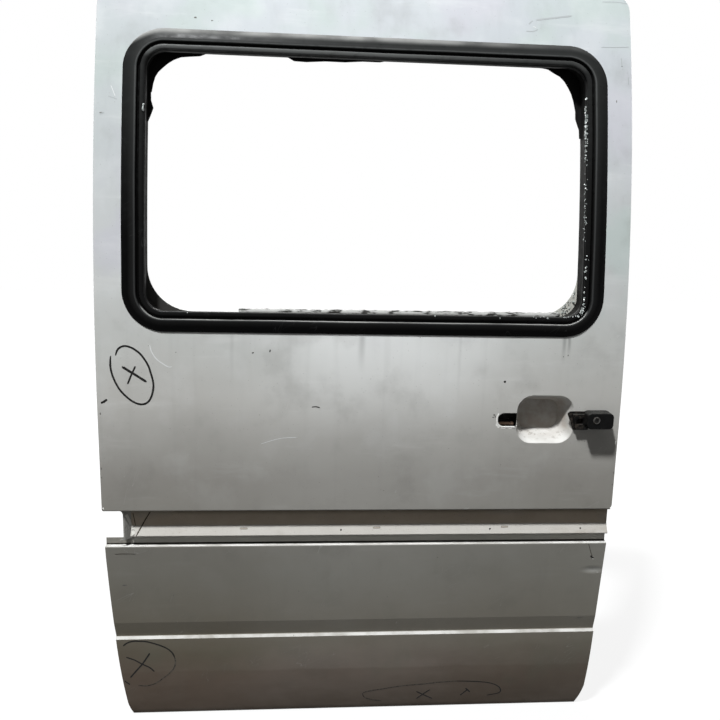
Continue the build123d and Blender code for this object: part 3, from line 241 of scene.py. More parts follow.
class Effect(Surface):
    """A shader node group for materials to share, with a place, named values and one result."""

    def __init__(self, name, values, result):
        tree = bpy.data.node_groups.new(name, "ShaderNodeTree")
        tree.interface.new_socket("Place", in_out="INPUT", socket_type="NodeSocketVector")
        for label, value in values.items():
            socket = tree.interface.new_socket(label, in_out="INPUT", socket_type="NodeSocketFloat")
            socket.default_value = value
        tree.interface.new_socket(result, in_out="OUTPUT", socket_type="NodeSocketFloat")
        self.given = tree.nodes.new("NodeGroupInput").outputs
        self.result = tree.nodes.new("NodeGroupOutput").inputs[result]
        super().__init__(tree, self.given["Place"])


# Dust that settles on faces turned upward, in patches.
settled_dust = Effect("settled_dust", {"Level": 0.25, "Full": 0.8, "Patches": 45.0}, "Mask")
given = settled_dust.given
upturned = settled_dust.remap(settled_dust.facing()["Z"], given["Level"], given["Full"])
patches = settled_dust.remap(settled_dust.mottle(given["Patches"], 4.0, 0.5), 0.28, 0.62, 0.35, 1.0)
settled_dust.wire(settled_dust.result, settled_dust.times(upturned, patches))

# Hairline scratches: broken thin lines in two directions.
hairlines = Effect("hairlines", {"Thickness": 0.004, "Amount": 0.55}, "Mask")
given = hairlines.given
lines = []
for turn, stretch in ((0.5, (2.0, 2.0, 34.0)), (-0.35, (40.0, 40.0, 2.5))):
    turned = hairlines.add("VectorRotate")
    turned.rotation_type = "Y_AXIS"
    hairlines.wire(turned.inputs["Vector"], given["Place"])
    turned.inputs["Angle"].default_value = turn
    wave = hairlines.mottle(1.0, 1.0, 0.5, stretch, turned.outputs[0])
    away = hairlines.maths("ABSOLUTE", hairlines.maths("SUBTRACT", wave, 0.5))
    lines.append(hairlines.remap(away, 0.0, given["Thickness"], 1.0, 0.0))
both = hairlines.maths("MAXIMUM", lines[0], lines[1])
shown = hairlines.maths("GREATER_THAN", hairlines.mottle(9.0, 2.0), given["Amount"])
hairlines.wire(hairlines.result, hairlines.times(both, shown))

# A run of dirty water: a narrow upright stain from a top to a bottom height, wavering a little.
waver_reach = 0.008
dirty_run = Effect("dirty_run", {"Across": 0.0, "Width": 0.006, "Top": 1.0, "Bottom": 0.8}, "Mask")
given = dirty_run.given
where = dirty_run.axes(given["Place"])
wavering = dirty_run.maths("ADD", where["X"], dirty_run.times(dirty_run.mottle(14.0, 2.0), waver_reach))
aside = dirty_run.maths("SUBTRACT", dirty_run.maths("SUBTRACT", wavering, given["Across"]), waver_reach / 2)
side = dirty_run.remap(dirty_run.maths("ABSOLUTE", aside), 0.0, given["Width"], 1.0, 0.0)
fade = dirty_run.remap(where["Z"], given["Bottom"], given["Top"])
cut = dirty_run.maths("LESS_THAN", where["Z"], given["Top"])
dirty_run.wire(dirty_run.result, dirty_run.times(side, fade, cut))


class Finish(Surface):
    """A material that is built up coat by coat."""

    def __init__(self, name, roughness=0.5, specular=0.25, metallic=0.0):
        self.material = bpy.data.materials.new(name)
        self.material.use_nodes = True
        nodes = self.material.node_tree.nodes
        super().__init__(self.material.node_tree, nodes.new("ShaderNodeTexCoord").outputs["Object"])
        self.shader = nodes["Principled BSDF"].inputs
        self.shader["Roughness"].default_value = roughness
        self.shader["Specular IOR Level"].default_value = specular
        self.shader["Metallic"].default_value = metallic

    def base(self, scale, detail, dark, pale):
        """First coat, which varies between two tones."""
        self.colour = self.cover(self.mottle(scale, detail), dark, pale)

    def lay(self, mask, tone):
        """Lays a tone over the coats so far, by a mask."""
        self.colour = self.cover(mask, self.colour, tone)

    def share(self, effect, **values):
        """Places a shared effect with this material's own values."""
        made = self.add("Group")
        made.node_tree = effect.tree
        for label, value in values.items():
            self.wire(made.inputs[label], value)
        return made.outputs[0]

    def dust(self, amount, tone, level, full, patches):
        """Lays settled dust, and returns its mask."""
        mask = self.share(settled_dust, Place=self.place, Level=level, Full=full, Patches=patches)
        self.lay(self.times(mask, amount), tone)
        return mask

    def scratches(self, amount, tone, thickness, least):
        """Lays hairline scratches, and returns their mask."""
        mask = self.share(hairlines, Place=self.place, Thickness=thickness, Amount=least)
        self.lay(self.times(mask, amount), tone)
        return mask

    def gloss(self, scale, detail, low, high):
        """Varies how rough the surface is."""
        self.wire(self.shader["Roughness"], self.remap(self.mottle(scale, detail), 0.3, 0.7, low, high))

    def raised(self, height, distance, strength):
        """Raises the surface by a height mask."""
        made = self.add("Bump")
        made.inputs["Strength"].default_value = strength
        made.inputs["Distance"].default_value = distance
        self.wire(made.inputs["Height"], height)
        self.wire(self.shader["Normal"], made.outputs[0])

    def grain(self, scale, detail, distance, strength):
        """Raises the surface in small soft blotches."""
        self.raised(self.mottle(scale, detail), distance, strength)

    def done(self):
        """The material, with its coats joined to its shader."""
        self.wire(self.shader["Base Color"], self.colour)
        return self.material

    def dress(self, *names):
        """Finishes the material and gives it to CAD nodes."""
        finish = self.done()
        for name in names:
            door[name].data.materials.clear()
            door[name].data.materials.append(finish)


silver = Finish("silver_paint", 0.55, 0.08)
where, facing = silver.axes(silver.place), silver.facing()
x, y, z = where["X"], where["Y"], where["Z"]
maths, times, remap, mottle, lay = silver.maths, silver.times, silver.remap, silver.mottle, silver.lay
clouds = maths("SUBTRACT", mottle(3.2, 4.0), 0.5)
height = maths("ADD", z, times(clouds, 0.16))
# Colour by height: silver above the handle, darker grey-brown below it, and brown at the sill.
silver.colour = silver.graded(
    maths("DIVIDE", maths("ADD", height, 0.1), 1.7),
    (
        (0.068, (0.215, 0.168, 0.133)),
        (0.118, (0.176, 0.154, 0.116)),
        (0.235, (0.246, 0.235, 0.204)),
        (0.368, (0.310, 0.296, 0.272)),
        (0.474, (0.525, 0.515, 0.487)),
        (0.550, (0.550, 0.555, 0.535)),
        (0.626, (0.560, 0.570, 0.565)),
        (0.765, (0.520, 0.540, 0.550)),
        (0.940, (0.505, 0.532, 0.556)),
    ),
)
# Paler in the middle, most of all under the window.
off_middle = maths("ADD", maths("ABSOLUTE", maths("ADD", x, 0.40)), times(clouds, 0.5))
paler_band = maths("MAXIMUM", times(remap(z, 0.55, 0.84, 0.0, 0.66), remap(z, 1.0, 0.86)), 0.08)
lay(times(remap(off_middle, 0.08, 0.42, 1.0, 0.0), paler_band), (0.91, 0.92, 0.91))
# Green and violet tinges round the window, a darker rear top and a paler front below the belt.
tinge = mottle(5.5, 3.0, 0.5)
high = remap(z, 0.75, 1.05, 0.0, 0.8)
lay(times(remap(tinge, 0.50, 0.66), high), (0.485, 0.545, 0.525))
lay(times(remap(tinge, 0.48, 0.34), high), (0.535, 0.535, 0.575))
lay(times(remap(x, -0.62, -0.96), remap(z, 1.0, 1.4, 0.0, 0.42)), (0.385, 0.42, 0.41))
lay(times(remap(x, -0.30, 0.12), remap(z, 0.40, 0.36, 0.0, 0.20)), (0.42, 0.415, 0.385))
# Dark and pale blotches, and smears along the door.
blotches = mottle(9.0, 6.0)
lay(remap(blotches, 0.50, 0.72, 0.0, 0.20), (0.14, 0.135, 0.12))
upper = remap(z, 0.30, 0.80, 0.12, 1.0)
lay(times(remap(blotches, 0.48, 0.30, 0.0, 0.14), upper), (0.82, 0.83, 0.83))
smears = remap(mottle(30.0, 4.0, 0.6, (0.16, 1.0, 1.0)), 0.55, 0.75, 0.0, 0.16)
lay(times(smears, upper), (0.82, 0.82, 0.81))
# Brown dirt that thickens toward the sill, its tide line, a near-black band along the lowest edge, and an olive and
# an upright wash.
sill_patches = remap(mottle(5.0, 6.0, 0.6, (0.4, 1.0, 1.0)), 0.38, 0.62)
sill_dirt = times(remap(height, 0.24, -0.02), sill_patches)
lay(times(sill_dirt, 0.4), (0.13, 0.102, 0.076))
tide = maths("ADD", z, times(mottle(7.0, 3.0, 0.6, (1.0, 1.0, 0.3)), 0.016))
lay(remap(tide, 0.045, 0.036, 0.0, 0.28), (0.135, 0.100, 0.072))
# A near-black band along the lowest edge.
lay(remap(z, -0.080, -0.094, 0.0, 0.6), (0.045, 0.042, 0.034))
lay(times(remap(mottle(6.5, 3.0), 0.55, 0.72, 0.0, 0.30), remap(z, 0.42, 0.1)), (0.165, 0.168, 0.128))
lay(remap(mottle(30.0, 3.0, 0.6, (1.0, 1.0, 0.05)), 0.5, 0.75, 0.0, 0.07), (0.16, 0.157, 0.145))
for across, width, top, bottom, depth in (
    (-0.426, 0.012, 0.836, 0.745, 0.34),
    (0.014, 0.007, 0.838, 0.772, 0.50),
    (0.025, 0.006, 0.838, 0.790, 0.55),
    (-0.700, 0.007, 0.836, 0.690, 0.14),
    (-0.215, 0.006, 0.836, 0.640, 0.12),
):
    run = silver.share(dirty_run, Place=silver.place, Across=across, Width=width, Top=top, Bottom=bottom)
    lay(times(run, depth), (0.16, 0.16, 0.155))
# A shallow knock in the front edge with a painted highlight laid pale over it, flecks, scratches and dust.
knock_long = silver.vectors("MULTIPLY", silver.place, (1.0, 0.0, 3.0))
knock_and_highlight = remap(silver.vectors("DISTANCE", knock_long, (0.128, 0.0, 0.876)), 0.0, 0.036, 1.0, 0.0)
# Painted highlight: the knock's middle is laid pale.
lay(times(knock_and_highlight, 0.4), (0.62, 0.62, 0.60))
lay(times(maths("LESS_THAN", silver.pebbles(85.0), 0.075), 0.3), (0.17, 0.16, 0.145))
scratch = silver.scratches(0.16, (0.75, 0.75, 0.74), 0.0022, 0.60)
dust = silver.dust(1.0, (0.60, 0.59, 0.565), 0.30, 0.6, 18.0)
# Brown dirt in the handle bowl, caked on its floor.
in_bowl = times(remap(y, -0.131, -0.112), maths("GREATER_THAN", x, -0.1))
in_bowl = times(in_bowl, maths("LESS_THAN", z, 0.72), maths("GREATER_THAN", z, 0.59))
bowl_floor = remap(facing["Z"], 0.15, 0.4)
bowl_tone = silver.cover(bowl_floor, (0.33, 0.28, 0.238), (0.47, 0.445, 0.415))
lay(times(in_bowl, remap(mottle(55.0, 4.0), 0.3, 0.65, 0.25, 0.75)), bowl_tone)
caked = remap(mottle(130.0, 5.0, 0.65, (0.6, 1.0, 1.0)), 0.54, 0.64, 0.0, 0.7)
lay(times(caked, bowl_floor, in_bowl), (0.22, 0.195, 0.165))
# The flange under the channel, a painted shadow along its foot, and grey primer on the inner sides.
behind = maths("GREATER_THAN", y, -0.1140)
on_flange = times(maths("GREATER_THAN", z, 0.3660), maths("LESS_THAN", z, 0.3800), behind)
lay(times(on_flange, remap(x, -0.935, -0.915, 0.0, 0.7)), (0.60, 0.59, 0.54))
# Painted shadow: near black along the flange's foot, under the channel's ledge.
lay(times(remap(z, 0.3672, 0.3655), behind, maths("GREATER_THAN", z, 0.3600)), (0.02, 0.018, 0.015))
inside = times(remap(facing["Y"], 0.35, 0.6), maths("SUBTRACT", 1.0, in_bowl))
lay(inside, silver.cover(mottle(18.0, 5.0), (0.24, 0.25, 0.25), (0.33, 0.335, 0.33)))
dulled = times(maths("MAXIMUM", dust, sill_dirt), 0.25)
gloss = maths("ADD", remap(mottle(40.0, 5.0), 0.3, 0.7, 0.48, 0.64), dulled, True)
silver.wire(silver.shader["Roughness"], gloss)
relief = maths("ADD", times(mottle(420.0, 2.0), 0.03), times(mottle(5.0, 1.0), 1.6))
relief = maths("SUBTRACT", maths("SUBTRACT", relief, times(scratch, 0.02)), times(knock_and_highlight, 1.4))
silver.raised(relief, 0.0012, 0.7)
silver.dress("upper_outer_panel", "lower_outer_panel")

# Belt channel: a folded steel strip in pale primer, welded in below the belt, that carried the rub strip on
# clips. Its shelf is dusty, the back of the groove is brown with dirt that the strip held, and its top has a
# painted shadow.
primer = Finish("channel_primer", 0.68, 0.12)
height = primer.axes(primer.place)["Z"]
primer.base(26.0, 5.0, (0.43, 0.41, 0.375), (0.51, 0.49, 0.455))
brown = primer.cover(primer.mottle(16.0, 6.0), (0.34, 0.28, 0.215), (0.45, 0.385, 0.31))
primer.lay(primer.remap(height, 0.4055, 0.4105), brown)
# Painted shadow: the top of the groove's back is darkened under the upper panel's edge.
shade_under_edge = primer.remap(height, 0.430, 0.444)
primer.lay(primer.times(shade_under_edge, 0.75), (0.10, 0.085, 0.065))
primer.lay(primer.remap(height, 0.3875, 0.3845), (0.27, 0.255, 0.225))
smears = primer.mottle(13.0, 6.0, 0.65, (0.35, 1.0, 1.0))
primer.lay(primer.remap(smears, 0.52, 0.66, 0.0, 0.6), (0.34, 0.305, 0.26))
fleck = primer.maths("LESS_THAN", primer.pebbles(140.0), 0.12)
primer.lay(primer.times(fleck, 0.5), (0.20, 0.17, 0.13))
primer.dust(0.3, (0.56, 0.54, 0.50), 0.3, 0.6, 70.0)
primer.gloss(60.0, 4.0, 0.58, 0.8)
primer.grain(240.0, 4.0, 0.0006, 0.6)
primer.dress("belt_channel")

# Notch jamb: the folded steel plate that closes the channel's rear end, where the roller arm left the door.
# It is spot-welded in, left in grey primer, and sealed along its edges.
jamb = Finish("jamb_primer", 0.62, 0.15)
jamb.base(34.0, 5.0, (0.26, 0.255, 0.235), (0.38, 0.37, 0.345))
jamb.dust(1.0, (0.55, 0.535, 0.49), 0.2, 0.7, 90.0)
jamb.scratches(0.4, (0.12, 0.11, 0.10), 0.02, 0.5)
jamb.gloss(70.0, 4.0, 0.5, 0.75)
jamb.grain(200.0, 4.0, 0.0005, 0.6)
jamb.dress("notch_jamb")


# Seam sealer: a brushed bead where the jamb meets the channel, and beads along the inner folds of the skins.
# It is a soft paste, laid by gun and brush, that dries pale, shrinks and cracks. Old dirt fills the cracks.
outward, inward = Vector((0, -1, 0)), Vector((0, 1, 0))
ray_start = 0.5
strip_lift = 0.00022


def skin_tree(*names):
    """Search tree over the faces of CAD nodes and made pieces."""
    corners, faces = [], []
    for name in names:
        mesh = door[name].data if name in door else bpy.data.meshes[name]
        start = len(corners)
        corners.extend(vertex.co.copy() for vertex in mesh.vertices)
        faces.extend([start + index for index in face.vertices] for face in mesh.polygons)
    return BVHTree.FromPolygons(corners, faces)


def smooth_path(points, steps):
    """Points along a curve that passes through the given points."""
    path = []
    last = len(points) - 1
    for index in range(last):
        before, start = points[max(index - 1, 0)], points[index]
        end, after = points[index + 1], points[min(index + 2, last)]
        bend = 2 * before - 5 * start + 4 * end - after
        twist = 3 * start - before - 3 * end + after
        for step in range(steps):
            t = step / steps
            path.append(0.5 * (2 * start + (end - before) * t + bend * t * t + twist * t * t * t))
    path.append(points[last])
    return path


def lay_strip(mesh, surface, path, width, crown, toward=inward, taper=0.25, wobble=None):
    """Lays a crowned strip along a path of places, dropped on a surface from outside."""
    rows = []
    last = len(path) - 1
    for index, point in enumerate(path):
        hit, normal, _, _ = surface.ray_cast(point - toward * ray_start, toward)
        if hit is None:
            continue
        if normal.dot(toward) > 0:
            normal = -normal
        along = path[min(index + 1, last)] - path[max(index - 1, 0)]
        sideways = along.cross(normal).normalized()
        from_end = min(index, last - index) / max(last, 1)
        half = width / 2 * min(1.0, taper + from_end * 9)
        if wobble:
            half *= wobble.uniform(0.75, 1.25)
        edge = hit + normal * strip_lift * 0.6
        middle = hit + normal * (strip_lift + crown)
        rows.append([mesh.verts.new(place) for place in (edge - sideways * half, middle, edge + sideways * half)])
    for first, second in zip(rows, rows[1:]):
        for column in (0, 1):
            mesh.faces.new((first[column], first[column + 1], second[column + 1], second[column]))


def draw_stroke(mesh, surface, stroke, steps, width, crown, **manner):
    """Lays a strip along a smooth line through points, which give X and Z in millimetres."""
    line = smooth_path([Vector((x / 1000, 0, z / 1000)) for x, z in stroke], steps)
    lay_strip(mesh, surface, line, width, crown, **manner)


def keep_piece(mesh, name, finish, smooth=True):
    """Turns built faces into a piece that rides on the door."""
    bmesh.ops.recalc_face_normals(mesh, faces=mesh.faces)
    data = bpy.data.meshes.new(name)
    mesh.to_mesh(data)
    mesh.free()
    for face in data.polygons:
        face.use_smooth = smooth
    data.materials.append(finish)
    piece = bpy.data.objects.new(name, data)
    scene.collection.objects.link(piece)
    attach(piece, "door")
    return piece


paste = Finish("sealer_paste", 0.7, 0.2)
paste.base(120.0, 4.0, (0.50, 0.49, 0.45), (0.68, 0.665, 0.62))
paste.scratches(0.7, (0.14, 0.13, 0.115), 0.03, 0.45)
paste.grain(300.0, 4.0, 0.0006, 0.8)
outer_face = skin_tree("upper_outer_panel", "lower_outer_panel", "belt_channel", "notch_jamb")
beads = bmesh.new()
jitter = random.Random(11)
jamb_bead = ((-933.5, 441), (-930, 430), (-926.5, 418), (-924, 408))
draw_stroke(beads, outer_face, jamb_bead, 5, 0.0065, 0.0012, wobble=jitter)
foot_bead = ((-921.5, 408.5), (-919, 398.5), (-917.5, 389))
draw_stroke(beads, outer_face, foot_bead, 6, 0.0075, 0.0010, wobble=jitter)
bead_step = 0.012
both_skins = skin_tree("upper_outer_panel", "lower_outer_panel")
for fold, low, high in (
    (-0.966, 0.47, 1.52),
    (-0.948, 0.02, 0.33),
    (0.1365, 0.47, 1.52),
    (0.1365, 0.02, 0.33),
):
    steps = int((high - low) / bead_step)
    fold_run = [Vector((fold, 0, low + (high - low) * step / steps)) for step in range(steps + 1)]
    lay_strip(beads, both_skins, fold_run, 0.0055, 0.0012, outward, 1.0, jitter)
inner_face = skin_tree("inner_upper_panel", "inner_lower_panel")
joint_run = [Vector((-0.928 + bead_step * step, 0, 0.6453)) for step in range(88)]
lay_strip(beads, inner_face, joint_run, 0.0095, 0.0010, outward, 1.0, jitter)
keep_piece(beads, "seam_sealer", paste.done())

old_dirt = Finish("old_dirt", 0.85, 0.05)
old_dirt.base(180.0, 4.0, (0.025, 0.021, 0.016), (0.07, 0.058, 0.042))
old_dirt.grain(300.0, 3.0, 0.0003, 0.6)
cracks = bmesh.new()
for width, stroke in (
    (0.0026, ((-882, 440), (-892, 424), (-903, 404), (-912, 387))),
    (0.0016, ((-919.5, 437), (-916.5, 420), (-915, 408))),
    (0.0014, ((108, 361), (111.5, 352), (116.5, 338), (121.5, 327))),
    (0.0012, ((-960, 344), (-940, 344.8), (-915, 344))),
):
    draw_stroke(cracks, outer_face, stroke, 6, width, 0.0001, wobble=jitter)
keep_piece(cracks, "dirt_cracks", old_dirt.done())


# Window rubber: a long moulded section, joined into a loop and rolled over the panel's edge. A low outer lip
# thins out to its edge; inside it are the open groove of the missing locking strip and a lip with the glass groove.
def bridge(mesh, rings):
    """Joins each ring of points to the next with faces."""
    for lower, upper in zip(rings, rings[1:]):
        for point in range(len(lower)):
            ahead = (point + 1) % len(lower)
            mesh.faces.new((lower[point], lower[ahead], upper[ahead], upper[point]))


rubber = Finish("window_rubber", 0.32, 0.03)
where = rubber.axes(rubber.place)
x, z = where["X"], where["Z"]
times, remap = rubber.times, rubber.remap
section_mark = rubber.add("Attribute")
section_mark.attribute_name = "across"
across = section_mark.outputs["Fac"]
# The rubber's tones are painted light and shade across its section: near black on the outer flank as painted shade,
# a painted highlight along the crest, and a painted sheen that brightens toward the top of the window.
rubber_painted_tones = (
    # place across the section, painted tone low on the window, painted tone high on the window
    (0.0, (0.0008, 0.0008, 0.0009), (0.0110, 0.0115, 0.0112)),
    (0.28, (0.0008, 0.0008, 0.0009), (0.0160, 0.0168, 0.0165)),
    (0.42, (0.0065, 0.0065, 0.0065), (0.0190, 0.0200, 0.0195)),
    (0.54, (0.0105, 0.0105, 0.0105), (0.0260, 0.0270, 0.0265)),
    (0.60, (0.040, 0.041, 0.041), (0.082, 0.085, 0.084)),
    (0.64, (0.020, 0.020, 0.020), (0.030, 0.031, 0.030)),
    (0.66, (0.0008, 0.0008, 0.0008), (0.0010, 0.0010, 0.0010)),
    (0.77, (0.0008, 0.0008, 0.0008), (0.0010, 0.0010, 0.0010)),
    (0.81, (0.0060, 0.0060, 0.0060), (0.0180, 0.0185, 0.0182)),
    (1.0, (0.0060, 0.0060, 0.0060), (0.0130, 0.0134, 0.0132)),
)
painted_shade_tones = rubber.graded(across, [(spot, tone) for spot, tone, _ in rubber_painted_tones])
painted_sheen_tones = rubber.graded(across, [(spot, tone) for spot, _, tone in rubber_painted_tones])
# Painted sheen: the tones brighten toward the top of the window.
rubber.colour = rubber.cover(remap(z, 0.98, 1.46), painted_shade_tones, painted_sheen_tones)
# Painted light: the top rail's inner lip is laid pale, most toward the rear.
top_lip_painted_light = times(remap(z, 1.395, 1.412), remap(across, 0.775, 0.80), remap(x, 0.0, -0.4, 0.35, 0.95))
rubber.lay(top_lip_painted_light, (0.085, 0.088, 0.086))
# Grey bloom in blotches, laid heavier toward the top as a painted sheen.
bloom_and_sheen = remap(rubber.mottle(75.0, 6.0), 0.50, 0.72, 0.0, 0.35)
rubber.lay(times(bloom_and_sheen, remap(z, 0.9, 1.45, 0.1, 1.0)), (0.022, 0.0235, 0.023))
# Dust on upturned faces, laid thick along the lower rail's crest and the rear of the top rail as painted
# highlights: partly real dust, partly painted highlight.
frontward = rubber.maths("ADD", x, remap(z, 1.0, 1.1, -1.0, 0.0))
dust_and_highlight = rubber.share(settled_dust, Place=rubber.place, Level=0.42, Full=0.62, Patches=9.0)
dust_and_highlight = times(dust_and_highlight, remap(frontward, 0.05, -0.45, 0.25, 0.9), remap(across, 0.66, 0.70, 1.0, 0.12))
rubber.lay(dust_and_highlight, (0.31, 0.31, 0.30))
rubber.scratches(0.25, (0.06, 0.06, 0.06), 0.006, 0.58)
rubber.gloss(50.0, 5.0, 0.26, 0.42)
rubber.grain(380.0, 4.0, 0.0003, 0.4)
rubber_section = (
    # inset from the outer edge and height over the panel, in millimetres
    (0.0, 0.3), (0.6, 0.7), (4.0, 2.3), (8.0, 4.1), (13.0, 5.8), (18.0, 7.1), (23.0, 8.1), (27.0, 8.6),
    (29.0, 8.4), (30.2, 7.4), (30.6, 5.8), (30.7, 3.8), (30.7, 2.0), (31.3, 1.4), (35.4, 1.4), (36.0, 2.0),
    (36.1, 5.2), (36.7, 6.8), (38.0, 7.6), (40.0, 7.9), (43.0, 7.7), (45.4, 6.9), (46.7, 5.8), (47.0, 4.4),
    (46.6, 4.2), (38.6, 4.2), (38.5, 4.0), (38.5, 0.8), (38.7, 0.6), (46.6, 0.6), (47.0, 0.2), (47.0, -6.8),
    (46.6, -7.2), (42.5, -8.9), (42.3, -8.7), (42.3, -1.3), (42.0, -1.2), (26.5, -1.2), (26.3, -1.0),
    (26.3, 0.2), (26.0, 0.3),
)
section_width, lip_width, bottom_pull = 47.0, 30.7, 3.5
face_radius, face_start, face_front = 3.4, 0.645, -0.134
window_middle, seal_half, seal_turn = -0.414, 0.5105, 0.086
low_lean = math.asin((0.922 - face_start) / face_radius)
high_lean = math.asin((1.37448 - face_start) / face_radius)
straight = seal_half - seal_turn
run_steps, side_steps, corner_steps = 48, 30, 16
stations = []


def station(x, lean, along, inward_x, inward_up):
    """Adds a place on the loop with its directions into the window and out of the face."""
    up = Vector((0, math.sin(lean), math.cos(lean)))
    out = Vector((0, -math.cos(lean), math.sin(lean)))
    on_face = Vector((x, face_front + face_radius, face_start)) + out * face_radius + up * along
    stations.append((on_face, Vector((inward_x, 0, 0)) + up * inward_up, out))


def corner_turn(side, lean, first, last):
    """Adds the places round one corner of the loop."""
    for step in range(corner_steps + 1):
        angle = math.radians(first + (last - first) * step / corner_steps)
        reach_x, reach_up = math.cos(angle), math.sin(angle)
        middle_x = window_middle + side * straight
        station(middle_x + seal_turn * reach_x, lean, seal_turn * reach_up, -reach_x, -reach_up)


for step in range(1, run_steps):
    station(window_middle - straight + 2 * straight * step / run_steps, low_lean, -seal_turn, 0, 1)
corner_turn(1, low_lean, -90, 0)
for step in range(1, side_steps):
    station(window_middle + seal_half, low_lean + (high_lean - low_lean) * step / side_steps, 0, -1, 0)
corner_turn(1, high_lean, 0, 90)
for step in range(1, run_steps):
    station(window_middle + straight - 2 * straight * step / run_steps, high_lean, seal_turn, 0, -1)
corner_turn(-1, high_lean, 90, 180)
for step in range(1, side_steps):
    station(window_middle - seal_half, high_lean + (low_lean - high_lean) * step / side_steps, 0, 1, 0)
corner_turn(-1, low_lean, 180, 270)
seal = bmesh.new()
loops = []
for index, (spot, into_window, out) in enumerate(stations):
    turn = 2 * math.pi * index / len(stations)
    sway = 0.25 * math.sin(7 * turn) + 0.18 * math.sin(17 * turn + 1.3)
    loop = []
    for inset, proud in rubber_section:
        loose = sway * min(max((proud - 3.0) / 4.0, 0.0), 1.0)
        loose += bottom_pull * max(into_window.z, 0.0) * max(1.0 - inset / lip_width, 0.0)
        reach = into_window * (inset + loose) + out * (proud + 0.4 * sway)
        loop.append(seal.verts.new(spot + reach * 0.001))
    loops.append(loop)
bridge(seal, loops + loops[:1])
rubber_seal = keep_piece(seal, "rubber_seal", rubber.done())
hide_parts("window_seal")
across_values = [inset / section_width for inset, _ in rubber_section] * len(stations)
rubber_seal.data.attributes.new("across", "FLOAT", "POINT").data.foreach_set("value", across_values)

# Window reveal: the steel sleeve between the outer skin and the inner pressing, bent round the opening and
# spot-welded to both. Its near-black colour is painted shade, and it is dusty below.
reveal = Finish("reveal_coat", 0.7, 0.08)
# Painted shade: the reveal is coloured near black for the dark inside the door.
reveal.base(20.0, 5.0, (0.004, 0.004, 0.004), (0.010, 0.010, 0.0095))
reveal.dust(0.15, (0.10, 0.097, 0.088), 0.3, 0.9, 60.0)
reveal.gloss(60.0, 4.0, 0.6, 0.8)
reveal.grain(160.0, 4.0, 0.0006, 0.6)
reveal.dress("window_reveal")

# Glass crumbs: what is left of the broken window, wedged in the rubber's groove and lying on the ledge inside
# it, thickest in the lower front corner. Each crumb is a small block of toughened glass.
glass = Finish("crumb_glass", 0.18, 0.5)
each_crumb = glass.add("NewGeometry").outputs["Random Per Island"]
glass.colour = glass.cover(each_crumb, (0.30, 0.34, 0.33), (0.82, 0.86, 0.84))
glass.lay(glass.remap(glass.mottle(900.0, 3.0), 0.4, 0.65, 0.0, 0.5), (0.10, 0.10, 0.095))
glass.gloss(700.0, 3.0, 0.1, 0.45)
glass.shader["Coat Weight"].default_value = 0.4
chance = random.Random(29)
window_face = skin_tree("rubber_seal", "window_reveal", "inner_upper_panel")
crumbs = bmesh.new()


def crumb(spot, size):
    """Adds a rough block of glass, turned at random."""
    turn = Matrix.Rotation(chance.uniform(0, 6.28), 4, Vector([chance.gauss(0, 1) for _ in range(3)]))
    shape = Matrix.Diagonal((size, size * chance.uniform(0.6, 1.0), size * chance.uniform(0.5, 1.3), 1))
    block = bmesh.ops.create_cube(crumbs, size=1.0, matrix=Matrix.Translation(spot) @ turn @ shape)
    for corner in block["verts"]:
        corner.co += Vector([chance.uniform(-1, 1) for _ in range(3)]) * size * 0.22


even, thick = chance.uniform, chance.gauss
spread = []
for count, along, along_range, up, up_range, sizes in (
    (95, even, (-0.060, 0.052), thick, (0.8865, 0.0022), (0.0011, 0.0030)),
    (85, thick, (0.0475, 0.0030), even, (0.893, 1.02), (0.0010, 0.0030)),
    (40, even, (0.02, 0.047), even, (0.889, 0.915), (0.0009, 0.0024)),
    (30, even, (-0.82, -0.06), thick, (0.8855, 0.0016), (0.0009, 0.0018)),
    (26, thick, (0.0460, 0.0020), even, (1.02, 1.28), (0.0009, 0.0022)),
):
    for _ in range(count):
        spread.append((along(*along_range), up(*up_range), even(*sizes)))
for step in range(9):
    spread.append((-0.8797 + thick(0, 0.0003), 1.2875 + step * 0.0016, even(0.0024, 0.0032)))
deepest_ledge, front_rail = 0.02, 0.056
for x, z, size in spread:
    hit, _, _, _ = window_face.ray_cast(Vector((x, -ray_start, z)), inward)
    if hit is not None and hit.y <= deepest_ledge:
        crumb(hit - Vector((0, size * 0.45, 0)), size)
for count, low, high, most, least, largest in (
    (130, 1.185, 1.365, 1.285, 0.0013, 0.0030),
    (70, 1.030, 1.190, 1.110, 0.0010, 0.0021),
):
    for _ in range(count):
        z, size = chance.triangular(low, high, most), chance.uniform(least, largest)
        lean = math.asin((z - face_start) / face_radius)
        depth = face_front + face_radius * (1 - math.cos(lean)) + chance.uniform(-0.0065, 0.0050)
        hit, _, _, _ = window_face.ray_cast(Vector((-0.1, depth, z)), Vector((1, 0, 0)))
        if hit is not None and hit.x <= front_rail:
            crumb(hit - Vector((size * 0.4, 0, 0)), size)
keep_piece(crumbs, "glass_crumbs", glass.done(), smooth=False)

